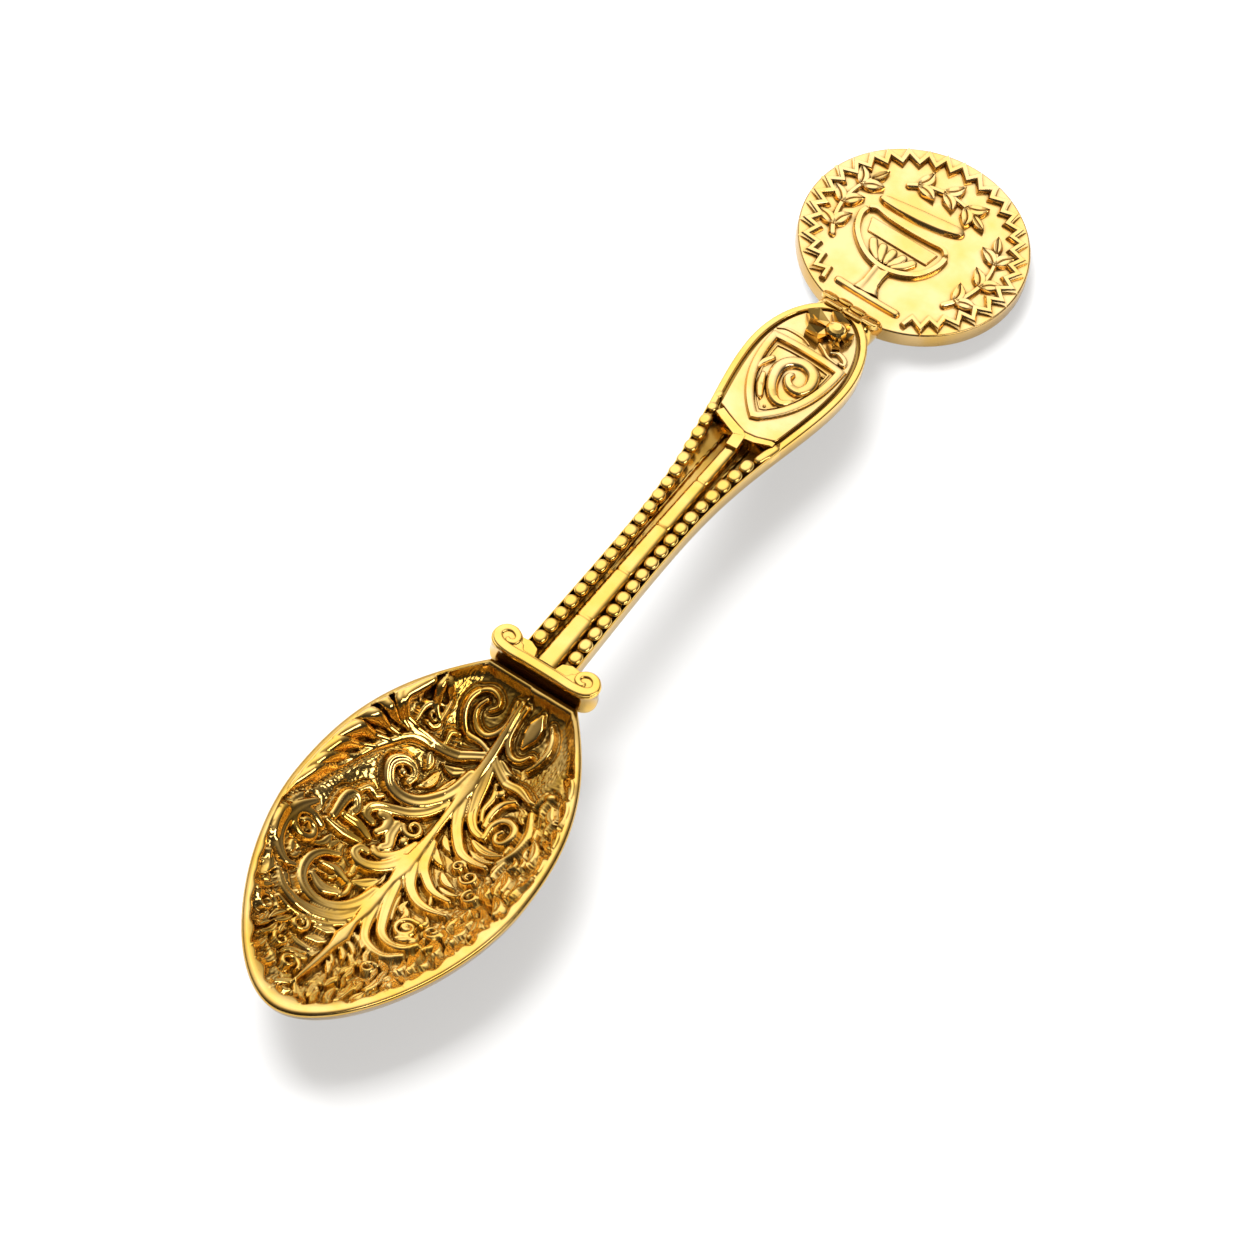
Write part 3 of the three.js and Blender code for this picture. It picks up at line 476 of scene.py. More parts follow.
def leaf(start, end, width, bend=0.0):
    """A leaf in relief, pointed at both ends, whose middle is bent sideways."""
    half = width / 2 * np.sin(np.pi * np.linspace(0, 1, 13) ** 0.85) ** 0.8
    path = curve(bent(start, end, bend), 0.1)
    return ribbon(path, np.maximum(half, 0.02), RELIEF, LEAF_BAND, round_ends=False)


def inward_of(outline):
    """The level directions into a closed plan outline."""
    x, y = outline.T
    area = np.sum(x * np.roll(y, -1) - np.roll(x, -1) * y)
    ahead = unit(np.roll(outline, -1, 0) - np.roll(outline, 1, 0))
    return np.stack([-ahead[:, 1], ahead[:, 0]], axis=1) * np.sign(area)


def pad(outline, height, bevel=0.12, sink=SINK):
    """A raised flat with rounded edges inside a closed plan outline."""
    inward = inward_of(outline)
    rings = [level(outline, -sink), level(outline, height - bevel)]
    for turn in (0.4, 0.8, 1.2, 1.57):
        inset = bevel * (1 - math.cos(turn))
        rings.append(level(outline + inward * inset, height - bevel + bevel * math.sin(turn)))
    return loft(rings)


def dome(middle, radii, height, sink=SINK, power=2.0, top=2.0, turns=28, levels=10, foot=1.0):
    """A rounded lump, whose foot is a share of its plan's size.

    Powers above 2 make its plan squarer and its top flatter.
    """
    middle = np.array(middle)
    turn = np.linspace(0, 2 * math.pi, turns, endpoint=False)
    plan = np.stack([np.cos(turn), np.sin(turn)], axis=1)
    plan = middle + np.array(radii) * np.sign(plan) * np.abs(plan) ** (2 / power)
    rings = [level(lerp(middle, plan, foot), -sink)]
    for lift in np.linspace(0, math.pi / 2, levels, endpoint=False):
        size, up = math.cos(lift) ** (2 / top), math.sin(lift) ** (2 / top)
        rings.append(level(lerp(middle, plan, size), height * up))
    return loft(rings)


def on_handle(shell, rise=0.0):
    """Sets a shell made on z = 0 down on the handle's top."""
    points = shell[0].copy()
    points[:, 2] += arch_z(points[:, 1]) + rise
    return points, shell[1]


def on_medallion(shell):
    """Sets a shell made on z = 0, round the medallion's middle, down on the tilted medallion."""
    x, y, z = shell[0].T
    cos, sin = math.cos(MEDALLION_TILT), math.sin(MEDALLION_TILT)
    placed = np.column_stack([x, medallion_y + y * cos + z * sin, medallion_top_z - y * sin + z * cos])
    return placed, shell[1]


def piece(name, shell, finish, crease=40, shade_and_patina=None):
    """Makes a shell into an object that rides on the spoon and stands for its CAD node."""
    points, faces = shell
    material, slot = finish
    mesh = bpy.data.meshes.new("spoon_" + name)
    mesh.from_pydata((points * MM).tolist(), [], faces)
    work = bmesh.new()
    work.from_mesh(mesh)
    bmesh.ops.recalc_face_normals(work, faces=work.faces)
    work.to_mesh(mesh)
    work.free()
    mesh.shade_smooth()
    mesh.set_sharp_from_angle(angle=math.radians(crease))
    # Painted shade, with patina on the bowl's ground, stored on the mesh for the gold to darken by
    if shade_and_patina is not None:
        mesh.attributes.new("shade_and_patina", "FLOAT", "POINT").data.foreach_set("value", shade_and_patina.astype(np.float32))
    mesh.materials.append(material)
    made = bpy.data.objects.new("spoon_" + name, mesh)
    bpy.context.scene.collection.objects.link(made)
    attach(made, "root")
    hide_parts(name)
    # Keeps the yellow light that the gold throws off the white floor
    made.visible_diffuse = False


# Gold

def gold(name, pale, deep, roughness, pits, pit_size, corner_reach):
    """Gilt metal: patches of two tints, darkened by painted shade in corners and by the painted shade and
    patina that a mesh carries, with fine pits and uneven polish.

    Gives the material and the name of its slot.
    """
    material = bpy.data.materials.new(name)
    material.use_nodes = True
    tree = material.node_tree
    nodes, link = tree.nodes, tree.links.new
    shader = nodes["Principled BSDF"]
    shader.inputs["Metallic"].default_value = 1.0
    coords = nodes.new("ShaderNodeTexCoord")

    def noise(size, detail):
        made = nodes.new("ShaderNodeTexNoise")
        made.inputs["Scale"].default_value = 1 / (size * MM)
        made.inputs["Detail"].default_value = detail
        link(coords.outputs["Object"], made.inputs["Vector"])
        return made.outputs["Fac"]

    tint = nodes.new("ShaderNodeValToRGB")
    tint.color_ramp.elements[0].position = 0.35
    tint.color_ramp.elements[0].color = (*deep, 1)
    tint.color_ramp.elements[1].position = 0.62
    tint.color_ramp.elements[1].color = (*pale, 1)
    link(noise(TINT_PATCH, 3), tint.inputs["Fac"])
    # The mesh's painted shade and patina, and painted shade in corners, darken the tint towards DARK_GOLD
    shade_and_patina = nodes.new("ShaderNodeAttribute")
    shade_and_patina.attribute_name = "shade_and_patina"
    corners = nodes.new("ShaderNodeAmbientOcclusion")
    corners.samples = 8
    corners.inputs["Distance"].default_value = corner_reach * MM
    # Painted shade where ambient occlusion finds a corner near by
    corner_shade = nodes.new("ShaderNodeMapRange")
    corner_shade.inputs["From Min"].default_value = 0.35
    corner_shade.inputs["From Max"].default_value = 0.9
    corner_shade.inputs["To Min"].default_value = CORNER_PAINTED_SHADE
    corner_shade.inputs["To Max"].default_value = 0.0
    link(corners.outputs["AO"], corner_shade.inputs["Value"])
    darkness = nodes.new("ShaderNodeMath")
    darkness.operation = "MAXIMUM"
    link(shade_and_patina.outputs["Fac"], darkness.inputs[0])
    link(corner_shade.outputs["Result"], darkness.inputs[1])
    darkened = nodes.new("ShaderNodeMix")
    darkened.data_type = "RGBA"
    link(darkness.outputs["Value"], darkened.inputs["Factor"])
    link(tint.outputs["Color"], darkened.inputs["A"])
    darkened.inputs["B"].default_value = (*DARK_GOLD, 1)
    link(darkened.outputs["Result"], shader.inputs["Base Color"])

    polish = nodes.new("ShaderNodeMapRange")
    polish.inputs["To Min"].default_value = roughness * POLISH_RANGE[0]
    polish.inputs["To Max"].default_value = roughness * POLISH_RANGE[1]
    link(noise(POLISH_PATCH, 4), polish.inputs["Value"])
    dulled = nodes.new("ShaderNodeMath")
    dulled.operation = "MULTIPLY_ADD"
    link(darkness.outputs["Value"], dulled.inputs[0])
    dulled.inputs[1].default_value = RECESS_DULLNESS
    link(polish.outputs["Result"], dulled.inputs[2])
    link(dulled.outputs["Value"], shader.inputs["Roughness"])

    bump = nodes.new("ShaderNodeBump")
    bump.inputs["Strength"].default_value = pits
    bump.inputs["Distance"].default_value = PIT_DEPTH * MM
    link(noise(pit_size, 3), bump.inputs["Height"])
    link(bump.outputs["Normal"], shader.inputs["Normal"])
    return material, name


chased_gold = gold("gilt_chased", (1.0, 0.67, 0.22), (0.95, 0.57, 0.1), 0.10, 0.3, 0.5, 0.8)
polished_gold = gold("gilt_polished", (1.0, 0.67, 0.2), (0.97, 0.6, 0.12), 0.10, 0.25, 0.8, 0.7)
struck_gold = gold("gilt_struck", (1.0, 0.71, 0.32), (0.98, 0.63, 0.18), 0.17, 0.4, 0.9, 0.45)


# Bowl

def bowl_outline():
    """The rim's outline, clockwise from the middle of the neck, as points and their distances along it."""
    widest = tip_y + BOWL_WIDEST_AT
    neck = np.array([[0, neck_y], [NECK_HALF, neck_y]])
    shoulder = bezier((NECK_HALF, neck_y), (NECK_HALF + SHOULDER_OUT, neck_y - SHOULDER_BACK),
                      (BOWL_HALF, widest + FLANK_NECK_HANDLE), (BOWL_HALF, widest))
    flank = bezier((BOWL_HALF, widest), (BOWL_HALF, widest - FLANK_TIP_HANDLE),
                   (TIP_HANDLE, tip_y), (0, tip_y))
    right = np.vstack([neck[:1], shoulder, flank[1:]])
    closed = np.vstack([right, right[-2::-1] * [-1, 1]])
    return closed, arc_length(closed)


outline_points, outline_along = bowl_outline()


def outline_at(along):
    """The outline's points at distances along it."""
    return np.stack([np.interp(along, outline_along, outline_points[:, k]) for k in (0, 1)], axis=-1)


def rim_z(y):
    """The rim's height at a place along the bowl."""
    return lerp(TIP_HEIGHT, NECK_HEIGHT, (y - tip_y) / (neck_y - tip_y))


def bowl_fall(share):
    """The share of the fall from rim to floor that the inside has, a share of the way out from its middle."""
    return np.clip(1 - share ** 2, 0, 1) ** BOWL_FALL_POWER


def bowl_grid():
    """Even places over the bowl's inside: their distances along the outline and shares of the way to it."""
    u, v = np.meshgrid(np.linspace(-1, 1, GRID_ACROSS + 1), np.linspace(-1, 1, GRID_ALONG + 1))
    beside = np.abs(u) > np.abs(v)
    big = np.where(beside, u, v)
    ratio = np.where(beside, v, u) / np.where(big == 0, 1, big)
    quarter = np.where(beside, np.where(u > 0, 0, 2) + ratio / 2, np.where(v > 0, 1, 3) - ratio / 2)
    end = outline_along[-1] * GRID_ACROSS / (4 * (GRID_ACROSS + GRID_ALONG))
    flank = outline_along[-1] / 2 - 2 * end
    along = np.interp((1 - quarter) % 4, [0, 0.5, 1.5, 2.5, 3.5, 4],
                      np.cumsum([0, end, flank, 2 * end, flank, end]))
    out = np.sin(np.linspace(0, math.asin(INSIDE_EDGE_SHARE), 200))
    reach = arc_length(np.column_stack([MIDDLING_REACH * out, MIDDLING_DEPTH * bowl_fall(out)]))
    return along, np.interp(np.abs(big), reach / reach[-1], out)


def distance_to(path, x, y):
    """The distance of plan points from a path, and the share of its length where each is nearest."""
    best = np.full(len(x), np.inf)
    where = np.zeros(len(x))
    lengths = arc_length(path)
    for k in range(len(path) - 1):
        ax, ay = path[k]
        bx, by = path[k + 1] - path[k]
        t = np.clip(((x - ax) * bx + (y - ay) * by) / max(bx * bx + by * by, 1e-12), 0, 1)
        gap = (x - ax - t * bx) ** 2 + (y - ay - t * by) ** 2
        closer = gap < best
        best[closer] = gap[closer]
        where[closer] = (lengths[k] + t * (lengths[k + 1] - lengths[k]))[closer]
    return np.sqrt(best), where / lengths[-1]


class Chasing:
    """Raised work on the bowl's inside: heights over plan points, and grooves beside what is raised."""

    def __init__(self, x, y):
        self.x, self.y = x, y
        self.height = np.zeros_like(x)
        self.groove = np.zeros_like(x)

    def near(self, path, reach):
        """The plan points in a box round a path."""
        low, high = path.min(0) - reach, path.max(0) + reach
        return np.flatnonzero((self.x > low[0]) & (self.x < high[0]) & (self.y > low[1]) & (self.y < high[1]))

    def raise_to(self, ids, raised, beside):
        """Raises points and deepens the grooves beside them, where they aren't higher or deeper yet."""
        self.height[ids] = np.maximum(self.height[ids], raised)
        self.groove[ids] = np.maximum(self.groove[ids], beside)

    def band(self, points, widths, height=BAND_HEIGHT, furrow=0.0, flatness=BAND_FLATNESS):
        """A rounded band with a groove along each side, and a furrow along its middle."""
        path = curve(points, 0.2)
        ids = self.near(path, max(widths) / 2 + 0.6)
        if not len(ids):
            return
        across, share = distance_to(path, self.x[ids], self.y[ids])
        half = np.interp(share, np.linspace(0, 1, len(widths)), widths) / 2
        u = np.clip(across / half, 0, 1)
        raised = height * np.sqrt(1 - u ** flatness) * (1 - furrow * ridge(u, 0.35))
        self.raise_to(ids, raised, ridge(across - half - 0.14, 0.13))

    def curl(self, middle, radius, from_degrees, turns, width):
        """A band that winds in to the eye of a curl."""
        share = np.linspace(0, 1, 25)[::2]
        reach = lerp(radius, radius * CURL_EYE, share)
        turn = math.radians(from_degrees) + 2 * math.pi * turns * share
        path = np.stack([middle[0] + reach * np.cos(turn), middle[1] + reach * np.sin(turn)], axis=1)
        self.band(path, [width, width, width * 0.7])

    def leaf(self, start, end, width, height, bend, only_on_ground=False):
        """A pointed leaf with a cut midrib."""
        path = curve(bent(start, end, bend), 0.25)
        ids = self.near(path, width / 2 + 0.5)
        if not len(ids):
            return
        across, share = distance_to(path, self.x[ids], self.y[ids])
        half = np.maximum(width / 2 * np.sin(np.pi * np.clip(share, 0.02, 0.98) ** 0.8), 0.04)
        u = np.clip(across / half, 0, 1)
        raised = height * np.sqrt(1 - u ** 2.4) * (1 - 0.22 * ridge(u, 0.25))
        if only_on_ground and self.height[ids][u < 1].mean() > FILL_FREE_HEIGHT:
            return
        self.raise_to(ids, raised, 0.7 * ridge(across - half - 0.1, 0.11))

    def ball(self, middle, radius):
        """A round berry."""
        middle = np.array(middle, float)
        ids = self.near(middle[None, :], radius + 0.5)
        across = np.hypot(self.x[ids] - middle[0], self.y[ids] - middle[1])
        u = np.clip(across / radius, 0, 1)
        self.raise_to(ids, BALL_HEIGHT * np.sqrt(1 - u ** 2), ridge(across - radius - 0.12, 0.12))


# The chased vine as it was read off the photo, in plan points. It was read for a bowl that falls more
# steeply and in finer strokes, so chase() settles its points and widens its strokes.
# Bands as (widths, height, furrow, points)
BANDS = [
    # stem
    ([0.45, 0.6, 0.9, 0.9, 1.4, 0.8, 0.7, 0.8, 1.2, 1.5, 0.7, 1.1, 1.2, 0.6, 1.3, 0.7, 0.6, 0.5, 0.35],
     0.78, 0, [(0, -17.8), (-0.05, -22), (-0.2, -26), (-0.25, -30), (-0.3, -36), (-0.4, -40), (-0.5, -44),
     (-0.55, -48), (-0.65, -54)]),
    # left side, from the neck down
    ([0.5, 0.6, 0.55, 0.5, 0.35], 0.62, 0, [(-0.2, -22.4), (-1.6, -22), (-3.2, -21.9), (-4.2, -20.9),
     (-4.5, -19.7), (-4.1, -18.6), (-3.2, -18.1), (-2.3, -18.3), (-1.9, -18.9), (-2.4, -19.4)]),
    ([0.4, 0.5, 0.55, 0.4], 0.58, 0, [(-0.5, -18), (-0.4, -19.4), (-0.7, -20.6), (-1.5, -21.3),
     (-2.5, -21.2), (-3.3, -20.5), (-3.5, -19.6), (-3.1, -18.9)]),
    ([0.7, 0.9, 0.9, 0.6], 0.65, 0.25, [(-0.3, -22.6), (-1.4, -23.3), (-3, -24.1), (-4.6, -24.5),
     (-6.2, -24.8), (-7.8, -25.3)]),
    ([0.35, 0.5, 0.35], 0.5, 0, [(-4.2, -23.8), (-4.3, -22.8), (-3.6, -22.4)]),
    ([0.4, 0.6, 0.4], 0.55, 0, [(-7.2, -24.3), (-7.2, -22.9), (-6.6, -22), (-5.8, -21.7)]),
    ([1.2, 1.2, 1.1, 1.0, 0.8, 0.6], 0.78, 0.3, [(-0.5, -25), (-1.1, -27), (-2, -28.6), (-3.2, -29.8),
     (-4.5, -30.3), (-5.8, -30.2), (-6.7, -29.4), (-6.9, -28.4), (-6.3, -27.5), (-5.3, -27.4), (-4.7, -28),
     (-4.8, -28.9)]),
    ([0.9, 1.0, 0.9, 0.7], 0.68, 0.25, [(-0.9, -28.4), (-1.9, -30), (-3, -31.1), (-4.2, -31.8),
     (-5.4, -32.5), (-6, -33.3), (-5.9, -34.1), (-5.2, -34.2)]),
    ([0.6, 0.8, 0.8, 0.6], 0.62, 0, [(-0.9, -33.4), (-1.3, -34.8), (-2, -35.9), (-2.9, -36.5),
     (-3.6, -36.2)]),
    ([0.9, 1.0, 0.8], 0.65, 0.2, [(-3.2, -32.8), (-3.1, -34), (-2.7, -35), (-3, -35.6)]),
    ([0.8, 0.9, 0.7], 0.65, 0, [(-4.9, -33), (-4.2, -32.9), (-3.9, -33.9), (-4.3, -34.7)]),
    ([0.7, 0.9, 0.7], 0.65, 0.2, [(-8, -36.4), (-8.1, -34.2), (-7.5, -33.4), (-6.8, -34.1), (-6.9, -34.8)]),
    ([0.7, 0.9, 0.6], 0.6, 0.2, [(-7.2, -35.6), (-5.8, -35.3), (-4.6, -35.7)]),
    ([0.5, 0.7, 0.5], 0.55, 0, [(-7.6, -32.6), (-7, -31.8), (-6.2, -31.9), (-5.8, -31.5)]),
    ([0.5, 0.9, 0.5], 0.6, 0.2, [(-8.2, -37.2), (-6.2, -36.9), (-4.9, -36.5)]),
    ([1.3, 1.1, 0.9, 0.7], 0.75, 0.2, [(-0.7, -35.4), (-1.7, -37.1), (-2.8, -38), (-4, -38.3),
     (-4.7, -37.8), (-4.5, -37.1), (-3.9, -37)]),
    ([1.3, 1.2, 1.0, 0.9, 0.8, 0.6], 0.75, 0.25, [(-0.8, -40), (-1.4, -41.9), (-2.3, -43.4), (-3.5, -44.4),
     (-4.8, -44.6), (-6.1, -44.2), (-7, -43), (-7.2, -41.5), (-6.6, -40.1), (-5.5, -39.2)]),
    ([0.5, 1.1, 0.7], 0.68, 0.2, [(-6.1, -42.7), (-4.7, -43), (-3.4, -42.4)]),
    ([0.5, 0.8, 0.5], 0.62, 0, [(-6.1, -41), (-4.8, -40.5), (-3.5, -40.8)]),
    ([0.5, 0.6, 0.5], 0.6, 0, [(-3.1, -40.9), (-2.9, -41.8), (-3.2, -42.7)]),
    ([1.1, 1.2, 1.2, 0.9, 0.4], 0.68, 0.3, [(-0.8, -42.6), (-1.8, -44.4), (-3, -45.4), (-4.4, -46),
     (-5.8, -46.2), (-7.2, -46), (-8.4, -45.1)]),
    ([0.5, 0.6, 0.4], 0.55, 0, [(-1.1, -44.7), (-2.2, -46), (-3.6, -46.8), (-5.4, -47.3), (-6.9, -47.2)]),
    ([0.6, 1.1, 1.0, 0.5], 0.65, 0.2, [(-9.7, -36.9), (-10.4, -38.7), (-10.5, -41), (-9.8, -42.9),
     (-8.5, -43.8), (-7.7, -43.4)]),
    # right side, from the neck down
    ([0.3, 1.2, 1.1, 0.37], 0.45, 0, [(2.1, -17.9), (2, -19.15), (1.9, -20.6)]),
    ([0.45, 0.6, 0.55, 0.4], 0.6, 0, [(0.5, -18), (0.3, -19.4), (0.5, -20.8), (1.3, -21.7), (2.3, -21.7),
     (3, -21)]),
    ([0.4, 0.6, 0.4], 0.58, 0, [(3.3, -18.2), (4, -19.2), (4.3, -20.4), (4, -21.6), (3.6, -22.2)]),
    ([0.6, 0.8, 0.8, 0.4], 0.65, 0.2, [(0.2, -22.4), (1.1, -23.2), (2.5, -23.9), (4, -24.2), (5.7, -25)]),
    ([1.0, 1.0, 0.9, 0.7], 0.68, 0.3, [(0.4, -23.4), (0.8, -25), (1.1, -26.6), (1.8, -28.2), (2.7, -29.2),
     (3.5, -29.6)]),
    ([0.4, 0.6, 0.5, 0.4], 0.58, 0, [(1.8, -24.5), (2.3, -25.7), (2.2, -27), (2.7, -28.2)]),
    ([0.5, 0.7, 0.6], 0.62, 0, [(4.4, -25.3), (3.5, -25.8), (3.1, -27), (3.2, -28.4)]),
    ([0.6, 0.75, 0.65, 0.45], 0.65, 0, [(3.9, -29.6), (3.8, -28.3), (4.3, -27.5), (5.1, -27.3),
     (5.9, -27.8), (6.2, -28.7), (5.8, -29.5), (5.1, -29.6), (4.8, -29), (5.1, -28.4)]),
    ([1.2, 1.0, 0.9, 0.4], 0.74, 0.25, [(0.1, -27.4), (1, -29.4), (2, -30.9), (3.1, -31.9), (4.4, -32.4),
     (5.9, -32.5)]),
    ([1.0, 0.9, 0.8, 0.4], 0.68, 0.25, [(0.2, -32.4), (1, -34.8), (2.1, -36.1), (3.4, -36.9),
     (5.1, -37.2)]),
    ([1.2, 1.0, 0.8, 0.4], 0.72, 0.25, [(0.1, -35.3), (1.1, -37.3), (2.4, -38.4), (3.9, -39), (5.9, -39)]),
    ([1.2, 1.0, 0.9, 0.5], 0.72, 0.25, [(0, -38), (0.7, -40.3), (1.3, -42.2), (2.1, -43.6), (3.4, -44.4),
     (4.8, -44.3), (5.7, -43.5)]),
    ([1.1, 0.9, 0.8, 0.5], 0.68, 0.25, [(-0.1, -41.3), (0.4, -43.5), (1.2, -45), (2.4, -45.8), (3.9, -46),
     (5.3, -45.3)]),
    ([0.5, 0.7, 0.4], 0.55, 0, [(6.4, -26), (7.3, -28), (7.3, -30), (6.6, -31.6)]),
]

# Curls as (middle, radius, from degrees, turns, width)
CURLS = [
    ((-1.95, -32.2), 0.9, 200, 1.15, 0.55), ((-9, -39.4), 1.45, 60, 1.3, 0.8),
    ((-6.1, -23), 0.75, 250, 1.2, 0.45), ((-7.2, -48.8), 0.95, 30, 1.2, 0.5),
    ((-4, -47.9), 0.85, 100, -1.2, 0.5), ((-2.3, -52.4), 0.95, 0, 1.0, 0.5),
    ((-4.2, -50.8), 0.7, 160, 1.1, 0.4), ((3.7, -33.3), 0.6, 20, 1.2, 0.4),
    ((5.2, -34), 0.8, 200, 1.2, 0.45), ((3.6, -41.9), 1.15, 60, 1.4, 0.55),
    ((6.6, -36), 0.8, 120, 1.2, 0.4), ((6, -41.3), 0.8, 0, -1.2, 0.4), ((3.6, -48.2), 0.75, 60, 1.2, 0.4),
]

# Leaves as (start, end, width, bend)
LEAVES = [
    ((-1.2, -24.8), (-3.4, -25.5), 1.0, 0.1), ((-4.9, -25.2), (-4.2, -27), 0.9, 0.15),
    ((-3.1, -26.1), (-4.1, -28.7), 0.85, 0.12), ((-1.6, -25.8), (-2.6, -28.2), 0.85, 0.1),
    ((-1.3, -38.5), (-3.5, -40.6), 1.3, 0.1), ((-1.1, -46), (-3.1, -47.3), 1.1, -0.1),
    ((-1.1, -47.6), (-3, -49), 0.9, -0.1), ((-1.3, -49.4), (-4.5, -49.4), 0.7, 0.08),
    ((-1.2, -50.6), (-3, -51), 0.6, 0.1), ((-5.4, -49.6), (-5.9, -52), 0.7, 0.15),
    ((-6.7, -50), (-6.9, -51.7), 0.55, 0.1), ((-4.7, -52.6), (-3.2, -53.3), 0.5, 0.1),
    ((-9.2, -41.4), (-8.6, -43), 0.7, 0.1), ((-9.7, -44.3), (-8.7, -46.7), 0.8, 0.12),
    ((0.8, -22.3), (2.9, -23), 0.8, -0.15), ((2.9, -30.1), (7, -30.7), 1.0, -0.1),
    ((3.4, -31.2), (6.8, -31.6), 0.65, -0.1), ((0.7, -30.9), (2.3, -32.4), 0.75, -0.1),
    ((0.6, -32.4), (2.6, -34), 0.8, -0.1), ((2.6, -34.5), (4.8, -35.6), 0.8, -0.1),
    ((3.2, -36), (5.8, -36.2), 0.6, -0.1), ((1, -38.5), (2, -41.8), 0.85, -0.1),
    ((3.3, -43.6), (5.1, -42.7), 0.9, 0.1), ((-0.1, -45), (1.9, -46.6), 0.6, 0.12),
    ((-0.2, -46), (1.7, -47.7), 0.6, 0.12), ((-0.3, -47), (1.2, -48.8), 0.6, 0.12),
    ((-0.4, -48.3), (0.7, -50.1), 0.5, 0.12), ((2.1, -47.5), (2.9, -48.6), 0.7, 0.1),
    ((5.8, -44.8), (6.7, -47.2), 0.85, 0.15), ((7.3, -22.3), (9.3, -24.8), 0.9, 0.1),
    ((8.4, -24.4), (10, -27.6), 0.9, 0.1), ((9.5, -27.4), (10.9, -30.2), 0.8, 0.08),
    ((10.1, -30.3), (11.2, -33.6), 0.8, 0.05), ((8.6, -35.4), (9.8, -38), 1.0, 0.15),
    ((8.7, -38.3), (9.2, -41.3), 1.0, 0.12), ((7, -42.2), (7.6, -44.5), 0.8, 0.1),
    ((8.2, -28.4), (9.4, -32), 0.8, 0.1), ((7.8, -32.2), (8.8, -35.2), 0.8, 0.1),
]

# Berries as (middle, radius)
BALLS = [
    ((-1.9, -33.7), 0.5), ((-6, -45.2), 0.35), ((3.6, -41.9), 0.4), ((7, -24.2), 0.45),
    ((-5.6, -28.4), 0.45), ((2.6, -25), 0.45),
]

# The big leaf along the left rim: its rib, and its lobes as (widths, points)
RIB = [(-4.9, -25.3), (-5.8, -25.5), (-6.7, -26.1), (-7.6, -27.5), (-8.4, -29.0), (-9.0, -30.7),
       (-9.6, -32.5), (-10.2, -34.4), (-10.6, -36.1)]
LOBES = [
    ([0.5, 0.8, 0.7, 0.3], [(-5.4, -23.3), (-6.2, -22.7), (-6.6, -21.7), (-6.7, -20.4)]),
    ([0.3, 0.5, 0.5], [(-6.7, -20.4), (-5.6, -21.3), (-5.4, -23.2)]),
    ([0.5, 0.9, 1.2, 1.4, 1.5], [(-6.8, -25.1), (-8.1, -25.1), (-8.6, -24.2), (-8.2, -22.8),
     (-7.8, -21.6)]),
    ([0.5, 0.9, 1.3, 1.8], [(-7.2, -25.8), (-8.3, -25.5), (-9.0, -24.6), (-9.5, -23.4)]),
    ([0.5, 1.0, 1.5, 2.0], [(-8.0, -26.1), (-9.2, -26.1), (-10.2, -25.9), (-11.0, -25.6)]),
    ([0.5, 0.9, 1.5, 2.2], [(-7.5, -26.8), (-8.9, -27.2), (-10.3, -27.9), (-11.6, -28.6)]),
    ([0.5, 0.9, 1.4, 1.9, 2.3], [(-7.9, -27.8), (-9.1, -28.6), (-10.2, -29.5), (-11.1, -30.7),
     (-11.9, -31.9)]),
    ([0.5, 0.8, 1.3, 1.8, 2.1], [(-8.5, -29.2), (-9.6, -30.3), (-10.6, -31.8), (-11.4, -33.5),
     (-12.1, -35)]),
    ([0.5, 0.9, 1.4, 1.7], [(-9.2, -31), (-10.3, -32.8), (-11.2, -34.9), (-12.2, -37.3)]),
    ([0.5, 0.8, 1.2, 1.5], [(-9.8, -33), (-10.6, -34.8), (-11.3, -36.9), (-12.2, -39.7)]),
]

# The smooth inner lip's width at places along the bowl, on each side
LIP_PLACES = [-58.7, -56, -53.7, -51, -47, -42.3, -39.2, -35, -30, -18]
LIP_RIGHT = [1.2, 1.0, 0.8, 0.7, 0.8, 0.8, 0.5, 0.3, 0.2, 0.2]
LIP_LEFT = [1.2, 0.8, 0.6, 0.5, 0.4, 0.2, 0.0, -0.4, -0.5, 0.0]


def settle(point):
    """A point of the vine, slid up the line of sight from the bowl it was read for onto the bowl as it is."""
    y = point[1]
    rays = outline_points - bowl_middle
    ray = point - bowl_middle
    reach = np.interp(math.atan2(ray[1], ray[0]), np.arctan2(rays[:, 1], rays[:, 0]),
                      np.hypot(rays[:, 0], rays[:, 1]), period=2 * math.pi)
    rest = 1 - min(math.hypot(*ray) / (reach - RIM_WIDTH), SETTLE_LIMIT) ** 2
    depth = lerp(TIP_HEIGHT, bowl_high[2], (y - tip_y) / (neck_y - tip_y)) - FLOOR_THICKNESS
    lift = depth * (rest ** READ_FALL_POWER - rest ** BOWL_FALL_POWER)
    return tuple(round(float(place + slide * lift), SETTLE_DIGITS)
                 for place, slide in zip(point, SIGHT_SLIDE))


def grown(size, growth):
    """A size of the vine as read, grown and rounded."""
    return round(growth * size, 2)


def grown_widths(widths):
    """A band's widths as read, grown in whole steps."""
    growth = BROAD_GROWTH if max(widths) >= BROAD_FROM else STROKE_GROWTH
    return [grown(round(growth * width / WIDTH_STEP), WIDTH_STEP) for width in widths]


